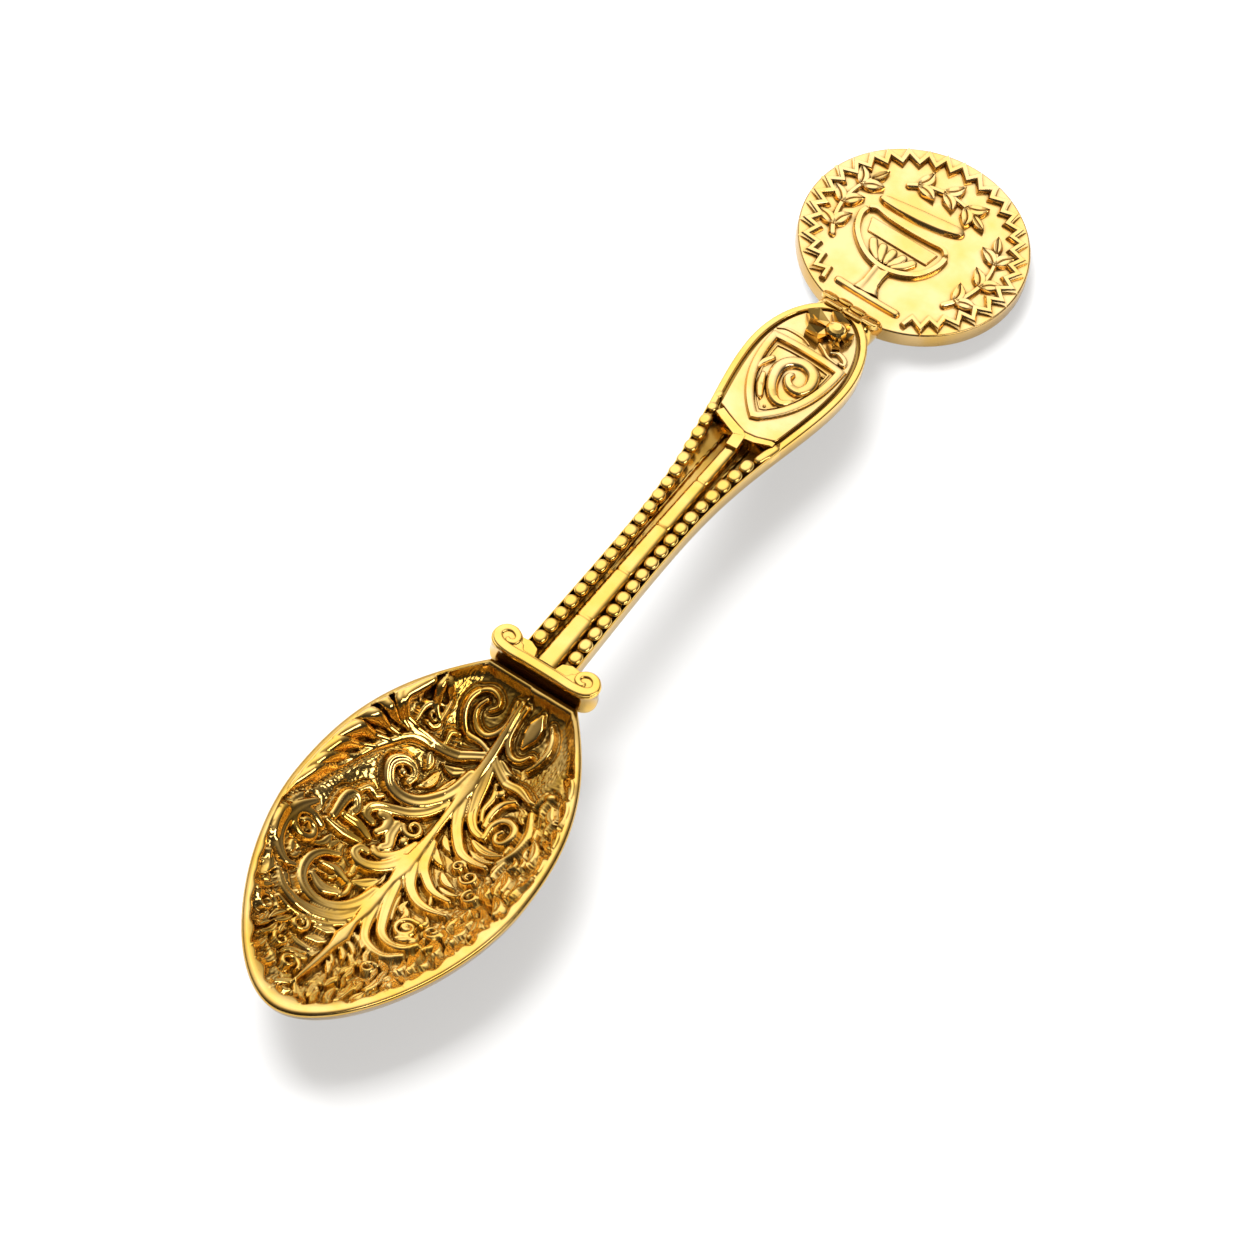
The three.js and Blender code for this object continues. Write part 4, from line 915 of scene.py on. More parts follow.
def chase(x, y, room):
    """The chased work's heights and grooves over plan points with room to the smooth lip."""
    work = Chasing(x, y)
    for widths, height, furrow, points in BANDS:
        work.band([settle(point) for point in points], grown_widths(widths), height,
                  grown(furrow, FURROW_GROWTH))
    for middle, radius, start, turns, width in CURLS:
        work.curl(settle(middle), grown(radius, CURL_GROWTH), start, turns, grown(width, STROKE_GROWTH))
    for start, end, width, bend in LEAVES:
        work.leaf(settle(start), settle(end), grown(width, STROKE_GROWTH), LEAF_HEIGHT, bend)
    for middle, radius in BALLS:
        work.ball(settle(middle), grown(radius, BALL_GROWTH))
    work.band(RIB, RIB_WIDTHS, RIB_HEIGHT)
    for widths, points in LOBES:
        work.band(points, widths, LOBE_HEIGHT, flatness=LOBE_FLATNESS)
    free = (y < FILL_BELOW) | (x > FILL_RIGHT_OF) & (y < FILL_RIGHT_BELOW)
    for k in chance.choice(np.flatnonzero((room > FILL_ROOM) & free), FILL_TRIES):
        length = chance.uniform(*FILL_LENGTHS)
        heading = -math.pi / 2 + FILL_OUTWARD * np.sign(x[k]) + chance.uniform(-FILL_SPREAD, FILL_SPREAD)
        bend = chance.uniform(-FILL_BEND, FILL_BEND)
        middle = np.array([x[k], y[k]])
        way = length / 2 * np.array([math.cos(heading), math.sin(heading)])
        work.leaf(middle - way, middle + way, length * FILL_SLIMNESS, FILL_HEIGHT, bend, only_on_ground=True)
    return work.height, work.groove


def lip_width(along, edge, plan):
    """The smooth lip's width, a little wavy, and wider where the big leaf's lobes lie on it."""
    left, right = (np.interp(edge[..., 1], LIP_PLACES, widths) for widths in (LIP_LEFT, LIP_RIGHT))
    lip = np.where(edge[..., 0] > 0, right, left)
    fast, slow = LIP_WAVE_TURNS
    lip = lip + LIP_WAVE * np.sin(along * fast) * np.sin(along * slow + 1) * smoothstep(lip)
    lobes = Chasing(plan[..., 0].ravel(), plan[..., 1].ravel())
    for widths, points in LOBES:
        lobes.band(points, widths, LOBE_REACH, flatness=LOBE_FLATNESS)
    return lip + lobes.height.reshape(lip.shape)


def up_normals(grid):
    """The upward direction off a grid of points, at each of them."""
    normal = unit(np.cross(np.gradient(grid, axis=1), np.gradient(grid, axis=0)))
    return normal * np.sign(normal[..., 2:3])


def carve_bowl(along, share):
    """The inside's points with the chasing cut into them, and how much painted shade and patina darken each.
    """
    edge = outline_at(along)
    ray = edge - bowl_middle
    reach = np.linalg.norm(ray, axis=-1)
    flare = RIM_FLARE * smoothstep((share - RIM_FLARE_FROM) / (1 - RIM_FLARE_FROM))
    plan = bowl_middle + ray * (((reach - RIM_WIDTH) * share + flare) / reach)[..., None]
    inward = (1 - share) * (reach - RIM_WIDTH)
    room = inward - lip_width(along, edge, plan)
    rim = rim_z(edge[..., 1])
    smooth = rim - LIP_SLOPE * inward - LIP_CURVE * inward ** 2
    ground = lerp(rim, FLOOR_THICKNESS, bowl_fall(share))
    z = lerp(smooth, ground, smoothstep(room / LIP_STEP_RUN))
    base = np.concatenate([plan, z[..., None]], axis=-1)

    x, y = plan[..., 0], plan[..., 1]
    height, groove = (a.reshape(z.shape) for a in chase(x.ravel(), y.ravel(), room.ravel()))
    inside = smoothstep((room + LIP_OVERLAP) / LIP_STEP_RUN)
    bare = np.clip(1 - height / BARE_BELOW, 0, 1)
    speckle = chance.normal(0, STIPPLE_DEPTH, z.shape)
    speckle = speckle + np.roll(speckle, 1, 0)
    speckle = speckle + np.roll(speckle, 1, 1)
    over_lip = np.maximum(height - CARVED_DEPTH, 0)
    on_ground = height - CARVED_DEPTH + bare * (speckle - GROOVE_DEPTH * groove)
    edge_run = np.where(edge[..., 1] > neck_y - NECK_EDGE_LENGTH, NECK_EDGE_RUN, EDGE_RUN)
    lift = lerp(over_lip, on_ground, inside) * smoothstep(inward / edge_run)
    # Painted shade on the bare ground, fading in towards the neck
    at_neck = smoothstep((y - neck_y + NECK_SHADE_LENGTH) / NECK_SHADE_FADE)
    # Patina with painted shade over the bare ground, and painted shade in the grooves beside raised work
    shade_and_patina = inside * bare * (GROUND_PATINA_AND_SHADE + GROOVE_PAINTED_SHADE * groove)
    shade_and_patina = np.maximum(shade_and_patina, NECK_PAINTED_SHADE * bare * at_neck)
    return base + up_normals(base) * lift[..., None], shade_and_patina


def bowl_outside(along):
    """Rings of points from the rim over the outside to the flat under the bowl."""
    edge = outline_at(along)
    ray = edge - bowl_middle
    reach = np.linalg.norm(ray, axis=1)
    rim = rim_z(edge[:, 1])

    def ring(size, inset, z):
        return level(bowl_middle + ray * ((reach - inset) * size / reach)[:, None], z)

    rings = []
    for turn in np.linspace(0, math.pi / 2, 7)[1:]:
        inset = (RIM_WIDTH - RIM_FLARE) * (1 - math.sin(turn))
        rings.append(ring(1, inset, rim - RIM_ROUND * (1 - math.cos(turn))))
    for turn in np.linspace(math.asin(OUTSIDE_EDGE_SHARE), 0, 13):
        wall = math.sin(turn)
        fall = (1 - wall ** OUTSIDE_ROUND) ** OUTSIDE_FALL_POWER
        rings.append(ring(lerp(FLAT_SHARE, 1, wall), 0, rim * (1 - fall)))
    return rings


def make_bowl():
    """The bowl: a chased inside, a rounded rim and a smooth outside with a flat to rest on."""
    along, share = bowl_grid()
    inside, shade_and_patina = carve_bowl(along, share)
    ids = np.arange(along.size).reshape(along.shape)
    border = np.concatenate([ids[-1, :-1], ids[:0:-1, -1], ids[0, :0:-1], ids[:-1, 0]])
    points, faces = [inside.reshape(-1, 3)], grid_faces(*along.shape)
    last, count = border, along.size
    for ring in bowl_outside(along.ravel()[border]):
        points.append(ring)
        this = count + np.arange(len(border))
        count += len(border)
        faces += np.stack([last, np.roll(last, -1), np.roll(this, -1), this], axis=1).tolist()
        last = this
    points.append(np.array([[*bowl_middle, 0.0]]))
    faces += [[int(a), int(b), count] for a, b in zip(last, np.roll(last, -1))]
    # Painted shade over the whole outside
    outside_painted_shade = np.full(count + 1 - along.size, SIDE_PAINTED_SHADE)
    shade_and_patina = np.concatenate([shade_and_patina.ravel(), outside_painted_shade])
    piece("bowl", (np.vstack(points), faces), chased_gold, crease=75, shade_and_patina=shade_and_patina)


# Handle

def channel_floor(x, y):
    """The channel's floor, with a thin fillet on each side of the rod and a pocket before the yoke."""
    fillet = FILLET_HEIGHT * np.exp(-((np.abs(x) - FILLET_X) / FILLET_HALF) ** 4)
    fillet = fillet * smoothstep((y - handle_y - FILLET_FROM) / FILLET_FADE)
    pocket = POCKET_DEPTH * smoothstep((y - yoke_y + POCKET_LENGTH) / POCKET_FADE)
    return arch_z(y) - CHANNEL_DEPTH - pocket + fillet


def handle_section(y):
    """The handle's closed section at a place along it."""
    half = float(handle_half(y))
    top = float(arch_z(y))
    bottom = top - HANDLE_THICKNESS
    in_plate = float(smoothstep((y - yoke_y + YOKE_DROP) / PLATE_STEP_RUN))
    lip = lerp(CHANNEL_LIP, CARTOUCHE_RIM, in_plate)
    inner = max(float(handle_half(y, lip)) if half > lip else 0.0, 0.0)
    low = min(HANDLE_LOW_ROUND, half * 0.7)
    high = min(HANDLE_TOP_ROUND, (half - inner) * 0.45)
    right = [(x, bottom) for x in np.linspace(0, half - low, 8)[:-1]]
    for turn in np.linspace(0, math.pi / 2, 8):
        right.append((half - low + low * math.sin(turn), bottom + low * (1 - math.cos(turn))))
    for turn in np.linspace(0, math.pi / 2, 6):
        right.append((half - high + high * math.cos(turn), top - high + high * math.sin(turn)))
    for turn in np.linspace(math.pi / 2, 0, 6):
        right.append((inner + high - high * math.cos(turn), top - high + high * math.sin(turn)))
    across = np.linspace(inner, 0, 44)
    floor = lerp(channel_floor(across, y), top - PLATE_DEPTH, in_plate)
    floor = lerp(np.full_like(floor, top - high), floor, float(smoothstep(inner / 0.6)))
    right += list(zip(across, floor))
    left = [(-x, z) for x, z in right[-2:0:-1]]
    return np.array([(x, y, z) for x, z in right + left])


def make_handle():
    """The handle and the cartouche's base, with painted shade in the channel and down the sides."""
    straight = np.linspace(handle_y, wide_y, 190)[:-1]
    cap = wide_y + CARTOUCHE_CAP * np.sin(np.linspace(0, math.pi / 2 * 0.985, 60))
    shell = loft([handle_section(y) for y in np.concatenate([straight, cap])])
    x, y, z = shell[0].T
    # Painted shade in the channel's depths, heavier towards the yoke, and painted shade down the outer sides
    below = arch_z(y) - z
    from_depth, to_depth = CHANNEL_DARK_DEPTHS
    deep = smoothstep((below - from_depth) / CHANNEL_DARK_FADE) * (below < to_depth)
    deep = deep * (np.abs(x) < handle_half(y, SIDE_DARK_BAND))
    to_yoke = smoothstep((y - yoke_y + CHANNEL_SHADE_LENGTH) / CHANNEL_SHADE_FADE)
    beside = (np.abs(x) > handle_half(y) - SIDE_DARK_BAND) * (below > SIDE_DARK_BELOW)
    shade_and_patina = np.maximum(deep * lerp(*CHANNEL_PAINTED_SHADE, to_yoke), SIDE_PAINTED_SHADE * beside)
    piece("handle_body", shell, polished_gold, crease=50, shade_and_patina=shade_and_patina)


def make_beads(name, side, last, top_inset, strip_end=None):
    """A row of slightly uneven beads on a wire, which runs on as a strip or ends in smaller beads."""
    first = bar_front_y + 2 * VOLUTE_RADIUS + BEAD_FROM_VOLUTE
    count = int((last - first) / BEAD_PITCH) + 1

    def place(y):
        inset = lerp(BEAD_INSET, top_inset, smoothstep((y - first) / (last - first)))
        return side * (float(handle_half(y)) - inset), y

    rows = np.linspace(first, last, count)
    shells = []
    for k, y in enumerate(rows):
        size = chance.uniform(0.94, 1.06, 3)
        if strip_end is None:
            size = size * min(1, 0.6 + 0.2 * (count - 1 - k))
        radii = (BEAD_HALF_WIDTH * size[0], BEAD_HALF_LENGTH * size[1])
        bead = dome(place(y), radii, BEAD_HEIGHT * size[2], BEAD_SINK, power=2.3, top=3.4, foot=BEAD_FOOT)
        shells.append(on_handle(bead, -BEAD_DROP))
    wire = ribbon(curve([place(y) for y in rows], 0.3), WIRE_HALF, WIRE_HEIGHT)
    shells.append(on_handle(wire, -WIRE_DROP))
    if strip_end is not None:
        y = np.linspace(last + STRIP_GAP, strip_end, STRIP_POINTS)
        x = side * (handle_half(y) - np.linspace(*STRIP_INSETS, STRIP_POINTS))
        strip = ribbon(np.column_stack([x, y]), STRIP_HALVES, STRIP_HEIGHT)
        shells.append(on_handle(strip, -STRIP_DROP))
    piece(name, join(*shells), polished_gold, crease=60)


def make_rod():
    """The half-round rod, nicked into lengths at a steady pitch."""
    first, last = handle_y + SOLDER_GAP, yoke_y - ROD_END_FROM_YOKE
    turn = np.linspace(0, math.pi, ROD_POINTS)
    rings = []
    for y in np.linspace(first, last, 220):
        share = (y - first) / (last - first)
        from_nick = (y - first + NICK_PITCH / 2) % NICK_PITCH - NICK_PITCH / 2
        nick = NICK_DEPTH * math.exp(-(from_nick / NICK_HALF) ** 2) * (share > 0.02)
        half = lerp(*ROD_WIDTHS, share) / 2 - nick
        x = ROD_LEAN * share + half * np.sign(np.cos(turn)) * np.abs(np.cos(turn)) ** ROD_SQUARENESS
        z = arch_z(y) - CHANNEL_DEPTH - ROD_SINK + (ROD_HEIGHT - nick) * np.sin(turn) ** ROD_SQUARENESS
        rings.append(np.column_stack([x, np.full(ROD_POINTS, y), z]))
    piece("centre_rod", loft(rings), polished_gold, crease=50)


def yoke_curve(x):
    """The lower edge of the cartouche's plate, which the yoke's lip follows."""
    return yoke_y + np.interp(x, YOKE_PLACES, YOKE_RISES)


def make_yoke():
    """The lip under the plate, whose left arm bends down into the socket that the rod's end stands in."""
    x = np.linspace(YOKE_PLACES[0], -0.1, 30)
    arm = np.column_stack([x, yoke_curve(x) - YOKE_DROP])
    bend = np.vstack([arm, curve([(0.12, yoke_y - 1.25), (ROD_LEAN, yoke_y - 2.75)])])
    x = np.linspace(0.3, YOKE_PLACES[-1] + 0.3, 30)
    branch = np.column_stack([x, yoke_curve(x) - 0.4])
    shells = [
        ribbon(bend, [0.52, 0.56, 0.6, 0.7, 0.72], 1.54, STEEP_BAND, round_ends=False, mitre=True),
        ribbon(branch, [0.42, 0.38, 0.32], 1.5, STEEP_BAND, round_ends=False),
    ]
    piece("rod_yoke", on_handle(join(*shells), -1.3), polished_gold, crease=30)


# Cartouche

def make_plate():
    """The smooth plate inside the cartouche's rim."""
    inset = CARTOUCHE_RIM + PLATE_GROOVE
    end = wide_y + CARTOUCHE_CAP - inset
    foot_x = np.linspace(YOKE_PLACES[0], YOKE_PLACES[-1], 24)
    foot = np.column_stack([foot_x, yoke_curve(foot_x) + PLATE_ABOVE_YOKE])
    cap = wide_y + (CARTOUCHE_CAP - inset) * np.sin(np.linspace(0, math.pi / 2 * 0.97, 30))

    def flank(foot_y):
        y = np.concatenate([np.linspace(foot_y + 0.15, wide_y, 30)[:-1], cap])
        return np.column_stack([handle_half(y, inset), y])

    right = flank(foot[-1, 1])
    left = flank(foot[0, 1])[::-1] * [-1, 1]
    outline = resampled(np.vstack([foot, right, [[0, end]], left, foot[:1]]), 0.25)[:-1]
    piece("cartouche_plate", on_handle(pad(outline, 0.02, 0.16, sink=0.5)), struck_gold)


def make_shield_frame():
    """The shield's border, broad and bevelled, with a finer line inside it."""
    def path(half, top, tip):
        belly = lerp(top, tip, 0.5)
        right = bezier((half, top), (half + 0.05, belly), (half * 0.62, lerp(top, tip, 0.78)), (0.1, tip), 40)
        crown = bezier((-half, top), (-half * 0.4, top + 0.3), (half * 0.4, top + 0.3), (half, top), 24)
        left = right[::-1] * [-1, 1]
        return np.vstack([crown[:-1], right[:-1], left[:-1]])

    outer_path = path(3.5, shield_top - 0.45, shield_top - 9.6)
    inner_path = path(2.75, shield_top - 1.25, shield_top - 8.5)
    outer = ribbon(outer_path, 0.5, 0.4, FLAT_BAND, closed=True, mitre=True)
    inner = ribbon(inner_path, 0.09, 0.14, closed=True, mitre=True)
    piece("shield_frame", on_handle(join(outer, inner)), struck_gold, crease=32)


def make_shield_scroll():
    """The spiral leaf in the shield, with its stalk, a slanting leaf and small dots."""
    scroll = curve([(2.1, -5.95), (1.2, -6.95), (0.1, -6.6), (-0.8, -5.25), (-1.2, -3.5), (-0.7, -2.25),
                    (0.5, -1.7), (1.75, -2.2), (2.2, -3.6), (1.75, -4.7), (0.75, -4.75), (0.1, -4),
                    (0.4, -3.2)], 0.08)
    wing = curve([(-2.75, -4.9), (-2.65, -3.8), (-2.1, -2.6)], 0.08)
    stalk = curve([(-2.05, -4.7), (-1.45, -6.3), (-0.7, -7.6)], 0.08)
    shift = np.array([0, shield_top])
    shells = [
        ribbon(scroll + shift, [0.35, 0.6, 0.68, 0.7, 0.7, 0.62, 0.38], RELIEF, BEVELLED_BAND),
        ribbon(wing + shift, [0.18, 0.38, 0.34], RELIEF * 0.8, BEVELLED_BAND),
        ribbon(stalk + shift, [0.28, 0.48, 0.34], RELIEF * 0.8, BEVELLED_BAND),
    ]
    for x, y in [(0.1, -8.0), (2.5, -1.75)]:
        shells.append(dome((x, y + shield_top), (0.17, 0.17), 0.22))
    piece("shield_scroll", on_handle(join(*shells)), struck_gold, crease=32)


# The bud's ball, and the outer corners of its petals, from (0, bud_y)
BUD_BALL = (0.7, -0.2)
BUD_PETALS = [
    [(-1.8, 1.0), (-2.6, 0.1), (-1.9, -0.6)],
    [(-1.6, -1.2), (-1.5, -2.0), (0.0, -2.2)],
    [(0.8, -1.75), (1.5, -2.2), (2.05, -1.75)],
    [(2.15, -1.1), (2.45, -0.3), (2.25, 0.45)],
    [(1.4, 1.15), (0.1, 1.65), (-0.75, 1.5)],
]


def petal(middle, corners):
    """A cupped, sharp-edged petal from a ball's middle out to three corners."""
    corners = np.array(corners, float)
    rim = np.vstack([lerp(middle, corners[0], 0.4), corners, lerp(middle, corners[-1], 0.4)])
    foot = lerp(rim.mean(0), rim, 1.08)
    hollow = lerp(middle, corners.mean(0), 0.72)
    points = np.vstack([level(foot, -SINK), level(rim, PETAL_HEIGHTS), [*hollow, PETAL_HOLLOW]])
    faces = [[k, (k + 1) % 5, 5 + (k + 1) % 5, 5 + k] for k in range(5)]
    faces += [[5 + k, 5 + (k + 1) % 5, 10] for k in range(5)]
    return points, faces + [[0, 1, 2, 3, 4]]


def make_bud():
    """The flower bud: a ball among cupped petals."""
    middle = np.array(BUD_BALL)
    shells = [dome(middle, (BUD_RADIUS, BUD_RADIUS), BUD_HEIGHT, top=2.4, turns=12, levels=5)]
    shells += [petal(middle, corners) for corners in BUD_PETALS]
    points, faces = join(*shells)
    piece("bud", on_handle((points + [0, bud_y, 0], faces)), polished_gold, crease=20)


def make_bud_leaf():
    """The leaf beside the bud, between a curling edge and the line of the shield's top."""
    shift = np.array([0, bud_y])
    edge = curve(shift + [(0.1, -2.2), (0.9, -2.6), (1.7, -3.1), (2.9, -3.3)], 0.08)
    loop = curve(shift + [(1.5, -2.55), (2.2, -2.1), (3.05, -2.4), (3.3, -2.95), (2.7, -3.05)], 0.08)
    line = curve(shift + [(-3.9, -3.1), (-3.0, -2.55), (-1.4, -2.5), (-0.4, -2.9)], 0.08)
    shells = [
        ribbon(line, [0.06, 0.14, 0.14, 0.08], 0.14),
        ribbon(edge, [0.14, 0.2, 0.14], RELIEF * 0.7),
        ribbon(loop, [0.14, 0.27, 0.3, 0.24, 0.14], RELIEF * 0.7),
    ]
    piece("bud_leaf", on_handle(join(*shells)), struck_gold, crease=35)


# Collar

# The bar's moulding, from the bottom up, as (inset, share of the height, painted shade), the lower part more
# shaded
COLLAR_PROFILE = [(0.35, 0, 0.3), (0.1, 0.06, 0.3), (0.05, 0.2, 0.3), (0.1, 0.25, 0.35), (0.1, 0.8, 0.35),
                  (0.04, 0.84, 0.3), (0.0, 0.86, 0.15), (0.0, 0.9, 0), (0.06, 0.93, 0), (0.16, 0.94, 0)]


def collar_outline():
    """The collar's plan: a bar with a round volute at each end."""
    turn = np.radians(np.linspace(-90, 168, 40))
    round_x, round_y = VOLUTE_RADIUS * np.cos(turn), VOLUTE_RADIUS * np.sin(turn)
    right = np.column_stack([volute_x + round_x, volute_y + round_y])
    back = bar_front_y + COLLAR_BAR_DEPTH
    inner = np.array([[FOOT_WIDTH / 2 - 0.1, back + 0.5], [FOOT_WIDTH / 2 - 0.35, back]])
    half = np.vstack([right, inner])
    return np.vstack([half, half[::-1] * [-1, 1], half[:1]])


def collar_band():
    """The band along the collar's top, which curls into a volute at each end."""
    half = [(1.5, bar_front_y + 0.55), (3.4, bar_front_y + 0.5), (4.6, bar_front_y + 0.75), (5.15, volute_y),
            (4.85, volute_y + 0.8), (4.1, volute_y + 1.05), (3.4, volute_y + 0.65), (3.35, volute_y),
            (3.9, volute_y - 0.25), (4.2, volute_y + 0.1)]
    path = curve([(-x, y) for x, y in half[::-1]] + half, 0.1)
    widths = [0.52, 0.5, 0.42, 0.34, 0.28]
    return ribbon(path, widths[::-1] + [0.52, 0.52] + widths, COLLAR_BAND_HEIGHT)


def make_collar():
    """The collar: a moulded bar with a band on its top, and a seam that closes it to the bowl."""
    outline = resampled(collar_outline(), 0.15)[:-1]
    inward = inward_of(outline)
    height = collar_top_z - collar_bottom_z
    rings, shade_and_patina = [], []
    for inset, up, dark in COLLAR_PROFILE:
        rings.append(level(outline + inward * inset, collar_bottom_z + up * height))
        shade_and_patina.append(np.full(len(outline), dark))
    shells = [loft(rings)]
    web = np.array([(1.05, bar_front_y + 1.1), (3.0, bar_front_y + 1.1), (3.1, volute_y + 0.9),
                    (2.2, volute_y + 1.0), (1.35, volute_y + 0.6), (1.05, bar_front_y + 1.1)])
    on_top = [collar_band()]
    for side in (-1, 1):
        on_top.append(pad(resampled(web, 0.12)[:-1] * [side, 1], 0.06, 0.06, sink=1.2))
    for points, faces in on_top:
        shells.append((points + [0, 0, collar_top_z - COLLAR_BAND_HEIGHT], faces))
        shade_and_patina.append(np.zeros(len(points)))
    corners = np.array([(-1, -1), (1, -1), (1, 1), (-1, 1), (-1, -1)]) * SEAM_HALF + [0, bar_front_y]
    points, faces = pad(resampled(corners, 0.15)[:-1], 0, 0.1, sink=1.2)
    shells.append((points + [0, 0, NECK_HEIGHT - SEAM_BELOW_NECK], faces))
    # Painted shade on the seam
    shade_and_patina.append(np.full(len(points), SIDE_PAINTED_SHADE))
    piece("collar", join(*shells), polished_gold, crease=45, shade_and_patina=np.concatenate(shade_and_patina))


# Clasp

# Lobes as (place across, share of the way from the handle to the medallion, half-length, half-width)
CLASP_LOBES = [(-2.3, 0.62, 0.8, 0.66), (-0.85, 0.74, 0.72, 0.5), (0.6, 0.68, 0.8, 0.58),
               (2.25, 0.5, 0.9, 0.95), (-1.3, 0.24, 1.0, 0.42), (0.75, 0.22, 1.1, 0.36)]


def squared(value):
    """A sine or cosine drawn out towards a square."""
    return np.sign(value) * np.abs(value) ** CLASP_SQUARENESS


def make_clasp():
    """The knot between the cartouche and the medallion: a rounded block covered with plump lobes."""
    back, front = handle_end_y - 1.1, medallion_y - medallion_radius + 0.9
    turn = np.linspace(0, 2 * math.pi, 48, endpoint=False)

    def top_at(y):
        share = (y - back) / (front - back)
        return lerp(arch_z(back) + 0.42, medallion_top_z + medallion_rise + 0.62, share)

    rings = []
    ends = np.array([0.92, 0.97, 0.995, 1])
    for x in np.concatenate([-ends[::-1], np.linspace(-0.85, 0.85, 30), ends]):
        swell = (1 - abs(x) ** 6) ** 0.5 if abs(x) < 1 else 0.05
        y = (back + front) / 2 + (front - back) / 2 * (0.75 + 0.25 * swell) * squared(np.cos(turn))
        z = lerp(clasp_low[2], top_at(y), 0.5 + 0.5 * swell * squared(np.sin(turn)))
        rings.append(np.column_stack([np.full(len(turn), x * clasp_high[0]), y, z]))
    shells = [loft(rings)]
    for x, along, half_long, half_wide in CLASP_LOBES:
        middle = (x, lerp(back, front, along))
        points, faces = dome(middle, (half_long, half_wide), CLASP_LOBE_HEIGHT, sink=0.4, power=2.8, top=3)
        shells.append((points + np.outer(top_at(points[:, 1]), [0, 0, 1]), faces))
    piece("clasp", join(*shells), polished_gold, crease=40)


# Medallion

def make_disc():
    """The medallion's disc, with rounded edges and a face that is not quite even."""
    turn = np.linspace(0, 2 * math.pi, 240, endpoint=False)
    flat = medallion_radius - MEDALLION_EDGE
    profile = [(0.5, -MEDALLION_THICKNESS), (flat, -MEDALLION_THICKNESS)]
    for start, z in [(-math.pi / 2, -MEDALLION_THICKNESS + MEDALLION_EDGE), (0, -MEDALLION_EDGE)]:
        for t in np.linspace(start, start + math.pi / 2, 6):
            profile.append((flat + MEDALLION_EDGE * math.cos(t), z + MEDALLION_EDGE * math.sin(t)))
    profile += [(radius, 0.0) for radius in np.linspace(medallion_radius - 0.4, 0.3, 36)]
    rings = []
    for radius, z in profile:
        x, y = radius * np.cos(turn), radius * np.sin(turn)
        wave = MEDALLION_WAVE * np.sin(1.1 * x + 0.8 * y) * np.sin(0.9 * y - 0.5 * x + 1) if z == 0 else 0
        rings.append(np.column_stack([x, y, np.full(len(turn), z) + wave]))
    # Painted shade on the disc's edge and underside
    shade_and_patina = np.repeat([SIDE_PAINTED_SHADE * (z < -0.02) for radius, z in profile], len(turn))
    piece("medallion_disc", on_medallion(loft(rings)), struck_gold, crease=50, shade_and_patina=shade_and_patina)


def make_zigzag():
    """The zigzag line round the medallion, a little uneven, open at the clasp."""
    step = 180 / ZIGZAG_TEETH
    corners = []
    for k in range(2 * ZIGZAG_TEETH + 1):
        angle = math.radians(-90 + step * k + chance.uniform(-0.8, 0.8))
        radius = ZIGZAG_RADII[k % 2] + chance.uniform(-0.1, 0.1)
        if ZIGZAG_OPEN_HALF <= step * k <= 360 - ZIGZAG_OPEN_HALF:
            corners.append((radius * math.cos(angle), radius * math.sin(angle)))
    shell = ribbon(corners, ZIGZAG_HALF, RELIEF, BEVELLED_BAND, round_ends=False, mitre=True)
    piece("zigzag_border", on_medallion(shell), struck_gold, crease=30)


def make_goblet():
    """The goblet: a cup with a band and gadroons, a stem and a foot."""
    wall = curve([(-5.35, 0.5), (-5.5, -0.6), (-4.9, -2.2), (-3.7, -3.5), (-2.3, -4.35), (-0.8, -4.65),
                  (0.7, -4.35), (2.0, -3.6), (2.9, -2.4), (3.35, -1.1), (3.35, 0.1)], 0.1)
    rim = curve([(-5.35, 0.5), (-4.6, 0.85), (-3.2, 0.6), (-1, 0.5), (1.2, 0.6), (2.6, 0.7), (3.35, 0.1)],
                0.1)
    band = np.array([(-4.55, -0.1), (2.6, -0.1), (2.3, -1.75), (-4.05, -1.75), (-4.55, -0.1)])
    stem = curve([(-0.6, -4.8), (-0.6, -5.8), (-0.55, -6.9), (-0.45, -7.9)], 0.1)
    foot = curve([(-3.5, -8.15), (0, -8.2), (3.5, -8.15)], 0.1)
    shells = [
        ribbon(wall, 0.4, RELIEF, FLAT_BAND),
        ribbon(rim, [0.3, 0.24, 0.22, 0.24, 0.3], RELIEF, FLAT_BAND),
        pad(resampled(band, 0.2)[:-1], 0.2),
    ]
    for x in GADROON_PLACES:
        path = curve([(x, -2.0), (lerp(x, CUP_MIDDLE, 0.3), -3.1), (lerp(x, CUP_MIDDLE, 0.72), -4.15)], 0.1)
        shells.append(ribbon(path, [0.42, 0.46, 0.2], 0.32))
    shells.append(ribbon(stem, [0.95, 0.9, 0.95, 1.4], RELIEF, FURROWED_BAND, round_ends=False))
    shells.append(ribbon(foot, 0.46, RELIEF * 0.7, BEVELLED_BAND))
    piece("goblet", on_medallion(join(*shells)), struck_gold, crease=32)


def make_goblet_lid():
    """The lens-shaped lid over the goblet."""
    path = curve([(-5.2, 2.2), (-3, 2.35), (0.5, 2.8), (3.3, 3.4)], 0.1)
    lid = ribbon(path, [0.5, 0.8, 0.95, 0.9, 0.6], RELIEF, FLAT_BAND)
    piece("goblet_lid", on_medallion(lid), struck_gold, crease=32)


